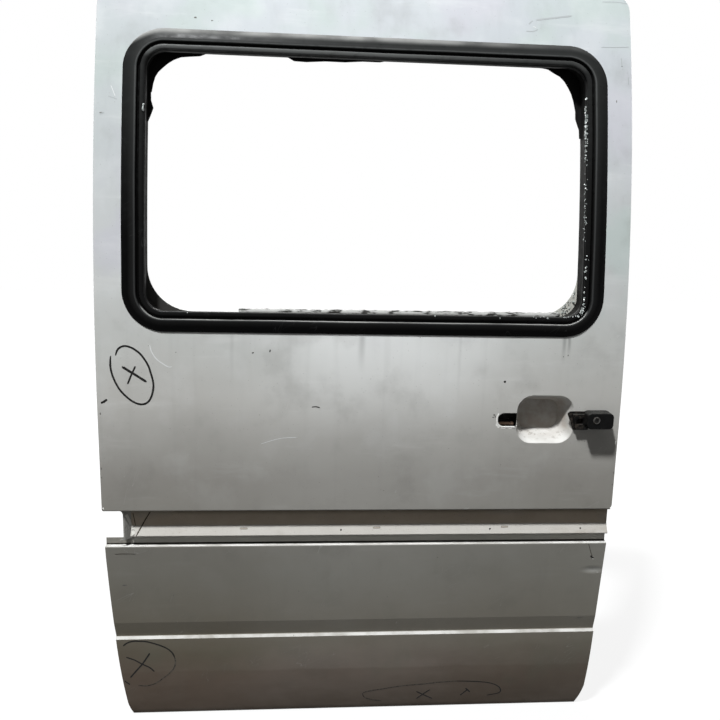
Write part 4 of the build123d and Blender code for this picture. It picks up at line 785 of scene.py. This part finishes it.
# Torn foam tape: ragged ends of the foam tape that was stuck between the inner pressing and its trim.
# They hang into the upper corners of the window and from its top, in the reveal's near-black painted shade.
tape_thickness = 0.0022
tape_rows = (
    # corners of each scrap, in millimetres
    ((-888, -11, 1386), (-877, -19, 1352), (-876, -26, 1318), (-871, -29, 1302), (-877, -32, 1285),
     (-884, -35, 1268), (-892, -35, 1268), (-893, -12, 1384)),
    ((60, 0, 1425), (-20, -4, 1418), (-8, -7, 1410), (7, -9, 1402), (17, -11, 1392), (25, -14, 1379),
     (32, -17, 1365), (37, -20, 1349), (41, -25, 1327), (41, -28, 1311), (45, -30, 1299), (49, -33, 1287),
     (50, -36, 1268), (60, -36, 1268), (63, -20, 1340)),
    ((-601, -2, 1426), (-577, -5, 1413), (-551, -5, 1412), (-510, -5, 1415), (-468, -4, 1415),
     (-430, -4, 1418), (-392, -4, 1418), (-366, -2, 1424), (-366, 1, 1436), (-601, 1, 1436)),
    ((-889, -23, 1334), (-875, -23, 1335), (-872, -19, 1354), (-868, -16, 1368), (-862, -14, 1378),
     (-852, -12, 1388), (-842, -10, 1397), (-830, -8, 1405), (-816, -6, 1411), (-797, -6, 1413),
     (-776, -5, 1415), (-759, -4, 1422), (-760, -1, 1435), (-880, -2, 1430)),
)
tape = bmesh.new()
for row in tape_rows:
    sides = []
    for depth in (0.0, tape_thickness):
        sides.append([tape.verts.new(Vector(corner) * 0.001 + inward * depth) for corner in row])
        tape.faces.new(sides[-1])
    bridge(tape, sides)
# The scraps take the reveal's near-black painted shade.
keep_piece(tape, "torn_foam_tape", reveal.material, smooth=False)

# Ledge sealer: a flattened strip of pale butyl, pressed along the lower rim of the inner opening.
# Dark scraps of what it held are left in it.
butyl = Finish("ledge_butyl", 0.75, 0.1)
scraps = butyl.remap(butyl.mottle(120.0, 5.0, 0.65, (0.25, 1.0, 1.0)), 0.40, 0.52)
butyl.colour = butyl.cover(scraps, (0.035, 0.034, 0.031), (0.42, 0.42, 0.405))
butyl.grain(200.0, 4.0, 0.0006, 0.7)
ledge_start, ledge_step, ledge_steps, ledge_foot = -0.690, 0.0075, 95, 0.8740
ledge = bmesh.new()
jitter = random.Random(83)
ledge_rows = []
for step in range(ledge_steps):
    x = ledge_start + ledge_step * step
    top = 0.8868 + 0.0018 * (step / (ledge_steps - 1)) + jitter.uniform(-0.0009, 0.0009)
    profile = ((-0.0862, ledge_foot), (-0.0858, top), (-0.0830, top), (-0.0830, ledge_foot))
    ledge_rows.append([ledge.verts.new((x, y, z)) for y, z in profile])
bridge(ledge, ledge_rows)
ledge.faces.new(ledge_rows[0])
ledge.faces.new(ledge_rows[-1])
keep_piece(ledge, "ledge_sealer", butyl.done())

# Inner pressings, box walls and arm seats: bare pressings spot-welded to each other, in a thin grey overspray
# that never got a finish coat. The sides that face into the door are darkened as painted shade, except round the
# lower front window corner, which is left pale as painted light.
inner = Finish("inner_paint", 0.6, 0.2)
height = inner.axes(inner.place)["Z"]
times, remap, mottle = inner.times, inner.remap, inner.mottle
inner.base(7.0, 5.0, (0.40, 0.42, 0.42), (0.50, 0.52, 0.52))
inner.lay(remap(mottle(3.0, 6.0, 0.62), 0.5, 0.68, 0.0, 0.7), (0.30, 0.305, 0.295))
wash = mottle(26.0, 3.0, 0.6, (1.0, 1.0, 0.06))
inner.lay(remap(wash, 0.52, 0.75, 0.0, 0.4), (0.24, 0.225, 0.20))
rust = remap(mottle(30.0, 6.0, 0.65), 0.66, 0.74, 0.0, 0.55)
inner.lay(times(rust, remap(height, 0.35, -0.05)), (0.22, 0.10, 0.045))
inner.scratches(0.35, (0.62, 0.62, 0.60), 0.004, 0.55)
inner.dust(0.6, (0.52, 0.50, 0.45), 0.3, 0.8, 50.0)
# Painted shade: near-black tones on the faces turned toward the outer skin.
wax = inner.cover(mottle(15.0, 5.0), (0.018, 0.018, 0.017), (0.045, 0.042, 0.038))
# Painted light: the shade is left off round the window's lower front corner, where light falls on the ledge.
from_corner = inner.vectors("DISTANCE", inner.place, (0.045, -0.078, 0.885))
ragged = inner.maths("ADD", from_corner, times(mottle(60.0, 4.0), 0.04))
wax = inner.cover(remap(ragged, 0.075, 0.125, 1.0, 0.0), wax, (0.50, 0.495, 0.45))
inner.lay(remap(inner.facing()["Y"], -0.35, -0.6), wax)
inner.gloss(45.0, 5.0, 0.48, 0.72)
relief = inner.maths("ADD", times(mottle(320.0, 3.0), 0.25), mottle(12.0, 2.0))
inner.raised(relief, 0.0008, 0.6)
inner.dress(
    "inner_upper_panel", "inner_lower_panel", "rear_edge_wall", "front_edge_wall", "top_edge_wall",
    "sill_wall", "lower_arm_pad", "upper_arm_bracket", "centre_arm_plate",
)


# Spot welds: shallow round dimples of bare scorched steel, one every few centimetres, where the pressings'
# edges were clamped between electrodes and fused.
def turned_disc(mesh, place, axis, rings, sides):
    """Round stepped form about an axis: each ring is a radius and a height along it."""
    turn = axis.to_track_quat("Z", "Y").to_matrix()
    angles = [2 * math.pi * step / sides for step in range(sides)]
    loops = []
    for radius, height in rings:
        spots = [Vector((radius * math.cos(angle), radius * math.sin(angle), height)) for angle in angles]
        loops.append([mesh.verts.new(place + turn @ spot) for spot in spots])
    bridge(mesh, loops)
    mesh.faces.new(loops[-1])


def set_discs(mesh, places, rings, sides):
    """Sets round forms on the inner pressings, at places given by X and Z, but not down in their openings."""
    for x, z in places:
        hit, normal, _, _ = inner_face.ray_cast(Vector((x, ray_start, z)), outward)
        if hit is not None and hit.y >= -0.1:
            turned_disc(mesh, hit, -normal if normal.y < 0 else normal, rings, sides)


weld = Finish("weld_metal", 0.5, 0.3, 0.2)
weld.base(260.0, 4.0, (0.30, 0.305, 0.30), (0.42, 0.43, 0.42))
weld.lay(weld.remap(weld.mottle(60.0, 4.0), 0.55, 0.7, 0.0, 0.6), (0.16, 0.12, 0.09))
weld.gloss(300.0, 3.0, 0.4, 0.65)
weld_places = []
for count, start, step, columns in ((46, -0.06, 0.0352, (-0.921, 0.1175)), (12, 0.95, 0.037, (-0.905, 0.077))):
    weld_places += [(x, start + index * step) for index in range(count) for x in columns]
for count, start, step, rows in (
    (30, -0.905, 0.0345, (1.548, -0.068, 0.655)),
    (24, -0.82, 0.0352, (0.868, 1.447)),
):
    weld_places += [(start + index * step, z) for index in range(count) for z in rows]
welds = bmesh.new()
set_discs(welds, weld_places, ((0.0034, 0.00003), (0.0031, 0.00030), (0.0024, 0.00034), (0.0019, 0.00012)), 12)
keep_piece(welds, "spot_welds", weld.done())

# Stiffeners and the doubler behind the grip slot: folded steel strips and a tube, welded in before the skins.
# They are in black dip coat, dusty on top and breaking out in rust.
dip = Finish("dip_coat", 0.55, 0.25)
dip.base(25.0, 5.0, (0.05, 0.05, 0.05), (0.10, 0.10, 0.098))
dip.lay(dip.remap(dip.mottle(42.0, 6.0, 0.68), 0.58, 0.70, 0.0, 0.8), (0.20, 0.085, 0.035))
dip.dust(0.6, (0.30, 0.285, 0.25), 0.2, 0.8, 80.0)
dip.gloss(60.0, 4.0, 0.45, 0.7)
dip.grain(220.0, 4.0, 0.0005, 0.6)
dip.dress("belt_stiffener", "impact_beam", "pivot_plate")

# Lock housing: a black plastic moulding with a fine grain, screwed to the skin from behind.
# It is dusty on top, scratched, and greasy on the side toward the bowl.
moulded_grain = Effect("moulded_grain", {"Scale": 900.0}, "Height")
pebbles = moulded_grain.pebbles(moulded_grain.given["Scale"])
moulded_grain.wire(moulded_grain.result, moulded_grain.remap(pebbles, 0.1, 0.7, 1.0, 0.0))
housing = Finish("black_moulding", 0.4, 0.035)
housing.base(60.0, 5.0, (0.003, 0.003, 0.0032), (0.009, 0.009, 0.009))
housing.dust(0.3, (0.10, 0.097, 0.09), 0.35, 0.9, 160.0)
housing.scratches(0.3, (0.09, 0.09, 0.09), 0.012, 0.56)
toward_bowl = housing.remap(housing.axes(housing.place)["X"], 0.070, 0.058)
grease = housing.remap(housing.mottle(170.0, 5.0), 0.45, 0.65)
housing.lay(housing.times(toward_bowl, grease, 0.8), (0.055, 0.046, 0.038))
housing.gloss(120.0, 4.0, 0.30, 0.50)
housing.raised(housing.share(moulded_grain, Place=housing.place, Scale=1100.0), 0.00018, 0.7)
housing.dress("lock_housing")

# Lock ring and key plug: a die-cast ring and a turned plug, pushed into the housing. Both are dull and dark
# with old dirt and brighter where keys scratched them; the plug's end is nearly black.
lock = Finish("lock_metal", 0.42, 0.4, 0.85)
lock.base(300.0, 4.0, (0.07, 0.07, 0.068), (0.15, 0.146, 0.138))
dirt = lock.remap(lock.mottle(140.0, 5.0), 0.42, 0.6)
lock.lay(dirt, (0.035, 0.032, 0.028))
lock.scratches(0.6, (0.50, 0.49, 0.46), 0.03, 0.5)
on_end = lock.vectors("MULTIPLY", lock.place, (1.0, 0.0, 1.0))
from_axis = lock.vectors("DISTANCE", on_end, (0.0862, 0.0, 0.6625))
lock.lay(lock.remap(from_axis, 0.0062, 0.0050, 0.0, 0.92), (0.006, 0.006, 0.006))
lock.wire(lock.shader["Roughness"], lock.remap(dirt, 0.0, 1.0, 0.32, 0.6))
lock.grain(700.0, 3.0, 0.0002, 0.6)
lock.dress("lock_ring", "lock_cylinder")

# Latches: stamped steel plates and fork claws, riveted together and screwed to the side walls.
# They are in yellowish zinc plate, stained and greased where the striker runs.
zinc = Finish("zinc_plate", 0.38, 0.5, 0.9)
zinc.base(40.0, 5.0, (0.50, 0.44, 0.29), (0.58, 0.56, 0.50))
zinc.lay(zinc.remap(zinc.mottle(90.0, 5.0), 0.52, 0.68, 0.0, 0.8), (0.16, 0.125, 0.08))
zinc.scratches(0.5, (0.70, 0.69, 0.66), 0.01, 0.5)
zinc.gloss(130.0, 4.0, 0.28, 0.55)
zinc.grain(420.0, 3.0, 0.0003, 0.6)
zinc.dress("front_latch", "rear_latch", "front_latch_claw", "rear_latch_claw")

# Inner release handle: a black moulded plastic cup with a lever, screwed to the inner pressing.
# Its grain is coarser than the lock housing's, and it is scuffed by hands.
cup = Finish("cup_moulding", 0.5, 0.3)
cup.base(50.0, 5.0, (0.014, 0.014, 0.0145), (0.026, 0.026, 0.026))
cup.lay(cup.remap(cup.mottle(120.0, 6.0), 0.56, 0.72, 0.0, 0.5), (0.07, 0.07, 0.07))
cup.dust(0.6, (0.20, 0.19, 0.17), 0.25, 0.8, 120.0)
cup.gloss(90.0, 4.0, 0.4, 0.6)
cup.raised(cup.share(moulded_grain, Place=cup.place, Scale=650.0), 0.0003, 0.8)
cup.dress("release_cup", "release_lever")

# Fixing screws: domed cross-slot screws in the latches and the release cup, each on a pressed washer.
# They are zinc plated like the latches.
screw_rings = (
    (0.0062, 0.0), (0.0062, 0.0009), (0.0050, 0.0011), (0.0044, 0.0022), (0.0030, 0.0029), (0.0012, 0.0031),
)
slot_height, slot_half, slot_half_width = 0.00318, 0.0024, 0.0004
screw_rows = (
    # place, direction of the head
    ((0.1322, -0.110, 0.512), (1, 0, 0)),
    ((0.1322, -0.110, 0.598), (1, 0, 0)),
    ((-0.9362, -0.110, 0.532), (-1, 0, 0)),
    ((-0.9362, -0.110, 0.618), (-1, 0, 0)),
    ((-0.082, -0.0711, 0.531), (0, 1, 0)),
    ((0.042, -0.0711, 0.589), (0, 1, 0)),
)
screws = bmesh.new()
for spot, direction in screw_rows:
    middle, axis, upright = Vector(spot), Vector(direction), Vector((0, 0, 1))
    turned_disc(screws, middle, axis, screw_rings, 20)
    sideways = axis.cross(upright)
    for first, second in ((upright, sideways), (sideways, upright)):
        corners = []
        for along, wide in ((-1, -1), (1, -1), (1, 1), (-1, 1)):
            arm = first * along * slot_half + second * wide * slot_half_width
            corners.append(screws.verts.new(middle + axis * slot_height + arm))
        screws.faces.new(corners)
keep_piece(screws, "fixing_screws", zinc.material)

# Trim plugs: soft black plastic plugs that held the inner lining, pushed into holes in the lower pressing and
# left there when it was torn off.
plug_places = [(-0.87 + step * 0.118, 0.487) for step in range(9)]
plug_places += [(x, 0.40 - step * 0.13) for x in (-0.895, 0.098) for step in range(3)]
plug_rings = ((0.0085, 0.0), (0.0083, 0.0010), (0.0070, 0.0022), (0.0042, 0.0026), (0.0036, 0.0012))
plugs = bmesh.new()
set_discs(plugs, plug_places, plug_rings, 18)
keep_piece(plugs, "trim_plugs", cup.material)

# Paint chips: flakes knocked off round the grip slot, at the belt corner and at the front edge.
# They are gone down to the pale primer, with rust starting in it. The same pale tone also paints highlights on the
# slot's rim and on the knock.
bare = Finish("bare_primer", 0.72, 0.12)
bare.base(220.0, 5.0, (0.80, 0.79, 0.75), (0.92, 0.91, 0.88))
bare.lay(bare.remap(bare.mottle(170.0, 5.0), 0.6, 0.72, 0.0, 0.7), (0.26, 0.14, 0.07))
bare.grain(500.0, 4.0, 0.0003, 0.6)
flake_lift, deepest_skin, most_bend = 0.00015, 0.06, 0.004
chance = random.Random(53)


def flake(mesh, x, z, wide, tall, sides=11):
    """A ragged flat patch on the skin, left out where the skin bends or ends under it."""
    rim = []
    for step in range(sides):
        angle = 2 * math.pi * step / sides
        reach = chance.uniform(0.6, 1.1)
        spot = Vector((x + wide / 2 * reach * math.cos(angle), -ray_start, z + tall / 2 * reach * math.sin(angle)))
        hit, _, _, _ = both_skins.ray_cast(spot, inward)
        if hit is None or hit.y > deepest_skin:
            return
        rim.append(hit + outward * flake_lift)
    if max(corner.y for corner in rim) - min(corner.y for corner in rim) < most_bend:
        mesh.faces.new([mesh.verts.new(corner) for corner in rim])


flakes_and_highlights = bmesh.new()
for x, z, wide, tall in (
    (-0.1265, 0.6555, 0.0050, 0.016), (-0.1255, 0.6450, 0.0060, 0.010), (-0.1220, 0.6400, 0.0080, 0.006),
    (-0.1120, 0.6380, 0.0140, 0.0045), (-0.0960, 0.6378, 0.0160, 0.0040), (-0.0850, 0.6385, 0.0070, 0.0035),
    (-0.1240, 0.6680, 0.0035, 0.008), (0.0385, 0.6960, 0.0045, 0.0090), (0.0415, 0.6880, 0.0040, 0.0060),
    # The thin flake at X 0.1395, Z 0.285 is a painted highlight on the knock in the front edge.
    (0.0440, 0.6835, 0.0060, 0.0030), (0.1395, 0.2850, 0.0060, 0.0016), (0.1455, 0.6050, 0.0030, 0.012),
    (-0.9765, 0.4560, 0.0035, 0.006),
):
    flake(flakes_and_highlights, x, z, wide, tall)
# Painted highlight: a pale line along the slot's rear and lower rim, where its bevel catches light.
slot_rim_highlight = (
    (-121.5, 670), (-124.5, 665.5), (-125.8, 660), (-125.8, 652.5), (-124.3, 647), (-121, 642.8),
    (-116.5, 640.4), (-110, 639.8), (-100, 639.8), (-90, 639.6), (-83.5, 639.2),
)
draw_stroke(flakes_and_highlights, both_skins, slot_rim_highlight, 4, 0.0034, 0.0007, wobble=chance)
keep_piece(flakes_and_highlights, "paint_chips", bare.done())

# Dirt specks: splashes of road mud that dried on the paint, a few of them large enough to tell apart.
# The small ones are scattered over the whole skin below the window.
mud = Finish("dried_mud", 0.85, 0.05)
mud.base(600.0, 3.0, (0.10, 0.098, 0.09), (0.22, 0.215, 0.20))
specks = bmesh.new()
for x, z, wide, tall in (
    (-0.780, 1.484, 0.0060, 0.0042), (-0.746, 1.479, 0.0050, 0.0028), (0.116, 1.343, 0.0024, 0.0085),
    (0.129, 1.419, 0.0045, 0.0022), (-0.974, 0.665, 0.0030, 0.0060), (-0.977, 0.545, 0.0030, 0.0055),
    (-0.977, 0.525, 0.0024, 0.0040), (0.147, 0.535, 0.0024, 0.0050), (0.147, 0.507, 0.0022, 0.0050),
    (0.024, 0.800, 0.0030, 0.0045), (0.014, 0.797, 0.0022, 0.0030), (-0.9650, 1.2810, 0.0090, 0.0028),
    (0.1120, 0.1610, 0.0190, 0.0018), (-0.9450, 0.2655, 0.0110, 0.0030), (-0.1330, 0.6670, 0.0060, 0.0035),
    (-0.1305, 0.6630, 0.0030, 0.0060), (-0.1350, 0.6615, 0.0040, 0.0025),
):
    flake(specks, x, z, wide, tall)
for _ in range(46):
    size = chance.uniform(0.0010, 0.0022)
    x, z = chance.uniform(-0.95, 0.12), chance.uniform(-0.06, 0.86)
    flake(specks, x, z, size, size * chance.uniform(0.7, 1.5), 7)
keep_piece(specks, "dirt_specks", mud.done())

# Grip pivot pin: a turned steel pin with a collar, left behind the slot where the pull grip turned on it.
# It is bare and rusty.
rusty = Finish("rusty_steel", 0.7, 0.25, 0.3)
rusty.base(300.0, 5.0, (0.24, 0.13, 0.075), (0.40, 0.30, 0.24))
rusty.gloss(400.0, 3.0, 0.55, 0.85)
rusty.grain(700.0, 4.0, 0.0003, 0.7)
pin_rings = ((0.0030, 0.0), (0.0038, 0.001), (0.0038, 0.030), (0.0046, 0.031), (0.0046, 0.036), (0.0036, 0.037))
pin = bmesh.new()
turned_disc(pin, Vector((-0.122, -0.1185, 0.6440)), Vector((1, 0, 0)), pin_rings, 20)
keep_piece(pin, "grip_pivot_pin", rusty.done())

# Rub strip clips: moulded clips of pale nylon that were pushed into slots in the channel's shelf.
# Only their stubs are left, broken off level with the shelf.
nylon = Finish("clip_nylon", 0.6, 0.2)
nylon.base(200.0, 5.0, (0.27, 0.24, 0.20), (0.40, 0.365, 0.315))
nylon.grain(500.0, 3.0, 0.0003, 0.6)
shelf_up = Vector((0, 0.0115, 0.022)).normalized()
shelf_out = Vector((0, -0.022, 0.0115)).normalized()
stub_half, stub_radius, stub_sides = 0.0064, 0.0016, 16
stubs = bmesh.new()
for x in (-0.679, -0.383, -0.090):
    middle = Vector((x, -0.1192, 0.4010))
    rings = []
    for out, grown in ((-0.0030, 0.0), (-0.0003, 0.0), (-0.0001, -0.0003)):
        ring = []
        for step in range(stub_sides):
            angle = 2 * math.pi * step / stub_sides
            end = stub_half if math.cos(angle) > 0 else -stub_half
            along = Vector((end + (stub_radius + grown) * math.cos(angle), 0, 0))
            upward = shelf_up * (stub_radius + grown) * math.sin(angle)
            ring.append(stubs.verts.new(middle + shelf_out * out + along + upward))
        rings.append(ring)
    bridge(stubs, rings)
    stubs.faces.new(rings[-1])
keep_piece(stubs, "strip_clip_stubs", nylon.done())

# Damage marks: rings, crosses and dashes drawn on the paint by hand with a black wax pencil, round the dents.
# The wax is worn thin near the sill.
wax = Finish("pencil_wax", 0.6, 0.15)
wax.base(500.0, 4.0, (0.005, 0.005, 0.005), (0.02, 0.019, 0.018))
wax.gloss(300.0, 3.0, 0.5, 0.75)
worn = Finish("worn_wax", 0.7, 0.12)
thin = worn.remap(worn.mottle(260.0, 4.0), 0.35, 0.65)
worn.colour = worn.cover(thin, (0.05, 0.046, 0.040), (0.15, 0.135, 0.115))
marks, faint = bmesh.new(), bmesh.new()
for mesh, width, stroke in (
    (marks, 0.0042, (
        (-939, 789), (-934, 802), (-922, 809), (-907, 806), (-893, 797), (-883, 786), (-873, 769), (-867, 750),
        (-863, 731), (-864, 716), (-868, 702), (-875, 691), (-886, 686), (-899, 688), (-912, 696), (-926, 709),
        (-936, 723), (-944, 740), (-949, 758), (-950, 775), (-949, 788),
    )),
    (marks, 0.0052, ((-924, 766), (-922, 763), (-900, 749), (-877, 734))),
    (marks, 0.0038, ((-899, 767), (-908, 748), (-916, 729))),
    (marks, 0.0046, ((-972, 688), (-966, 691), (-959, 696))),
    (marks, 0.0036, (
        (-958, 107), (-948, 115), (-935, 119), (-920, 119), (-903, 117), (-888, 112), (-871, 105), (-858, 97),
        (-848, 86), (-843, 73),
    )),
    (faint, 0.0032, ((-843, 73), (-842, 60), (-845, 46), (-851, 36), (-860, 25))),
    (marks, 0.0036, ((-948, 18), (-933, 37), (-918, 56), (-907, 73), (-899, 86))),
    (marks, 0.0034, ((-953, 76), (-935, 68), (-918, 56), (-902, 46), (-892, 34))),
    (marks, 0.0034, ((-962, 8), (-957, 3), (-951, -3))),
    (faint, 0.0026, ((-860, 25), (-872, 15), (-890, 0), (-912, -8), (-932, -6))),
    (faint, 0.0026, ((-400, -47), (-390, -42), (-354, -35), (-303, -26), (-254, -22), (-211, -17), (-172, -15))),
    (marks, 0.0026, ((-172, -15), (-122, -18), (-88, -24), (-67, -35), (-59, -49), (-65, -58), (-92, -64))),
    (faint, 0.0024, ((-402, -47), (-395, -62), (-375, -70), (-355, -74))),
    (marks, 0.0030, ((-269, -46), (-248, -59), (-228, -71))),
    (marks, 0.0030, ((-267, -70), (-252, -55), (-236, -41))),
    (marks, 0.0030, ((-159, -62), (-151, -53), (-143, -44))),
    (marks, 0.0034, ((-148, -39), (-142, -45), (-136, -52))),
    (marks, 0.0044, ((-115, 740), (-113, 741), (-111, 741))),
    (marks, 0.0046, ((117, 327), (119, 327), (121, 326))),
    (marks, 0.0024, ((-658, 797), (-656, 798), (-654, 798))),
    (marks, 0.0026, ((-621, 800), (-620, 802), (-620, 805))),
    (marks, 0.0022, ((-531, 682), (-522, 683), (-514, 681))),
):
    draw_stroke(mesh, both_skins, stroke, 5, width, 0.00008, taper=0.55)
keep_piece(marks, "damage_marks", wax.done())
keep_piece(faint, "worn_damage_marks", worn.done())

# Rubbed lines: pale scuffs where something dragged along the door.
# They are the silver paint itself, burnished and cleaned of its grime.
scuffed = Finish("scuff_paint", 0.6, 0.2)
scuffed.base(400.0, 4.0, (0.66, 0.67, 0.665), (0.76, 0.765, 0.76))
rubbed_lines = bmesh.new()
for width, stroke in (
    (0.0022, ((-869, 812), (-865, 797), (-855, 782), (-843, 773), (-831, 766), (-824, 767))),
    (0.0011, ((-947, 1337), (-942, 1325), (-938, 1315))),
    (0.0011, ((-66, 1498), (-59, 1495))),
    (0.0012, ((-640, 600), (-600, 612), (-560, 615))),
):
    draw_stroke(rubbed_lines, both_skins, stroke, 6, width, 0.00005, taper=0.2)
keep_piece(rubbed_lines, "rubbed_lines", scuffed.done())

# Dull scuffs: places where the silver paint was rubbed darker than round it.
# They lie near the top edge and down the rear edge, where the door met other metal.
dulled = Finish("dulled_paint", 0.65, 0.08)
dulled.base(300.0, 4.0, (0.34, 0.36, 0.365), (0.46, 0.485, 0.49))
dull_scuffs = bmesh.new()
for width, stroke in (
    (0.0040, ((-59, 1512), (-22, 1518), (21, 1525))),
    (0.0016, ((83, 1459), (114, 1460), (146, 1462))),
    (0.0016, ((88, 1559), (122, 1560), (147, 1557))),
    (0.0022, ((143, 1397), (143, 1380))),
    (0.0022, ((128, 1438), (129, 1420))),
    (0.0026, ((-75, 1502), (-70, 1507), (-66, 1510))),
    (0.0024, ((-81, 1487), (-66, 1487), (-55, 1492))),
    (0.0026, ((-969, 1278), (-963, 1280), (-959, 1282))),
    (0.0020, ((-952, 1315), (-942, 1312), (-934, 1309))),
):
    draw_stroke(dull_scuffs, both_skins, stroke, 6, width, 0.00005, taper=0.2)
keep_piece(dull_scuffs, "dull_scuffs", dulled.done())
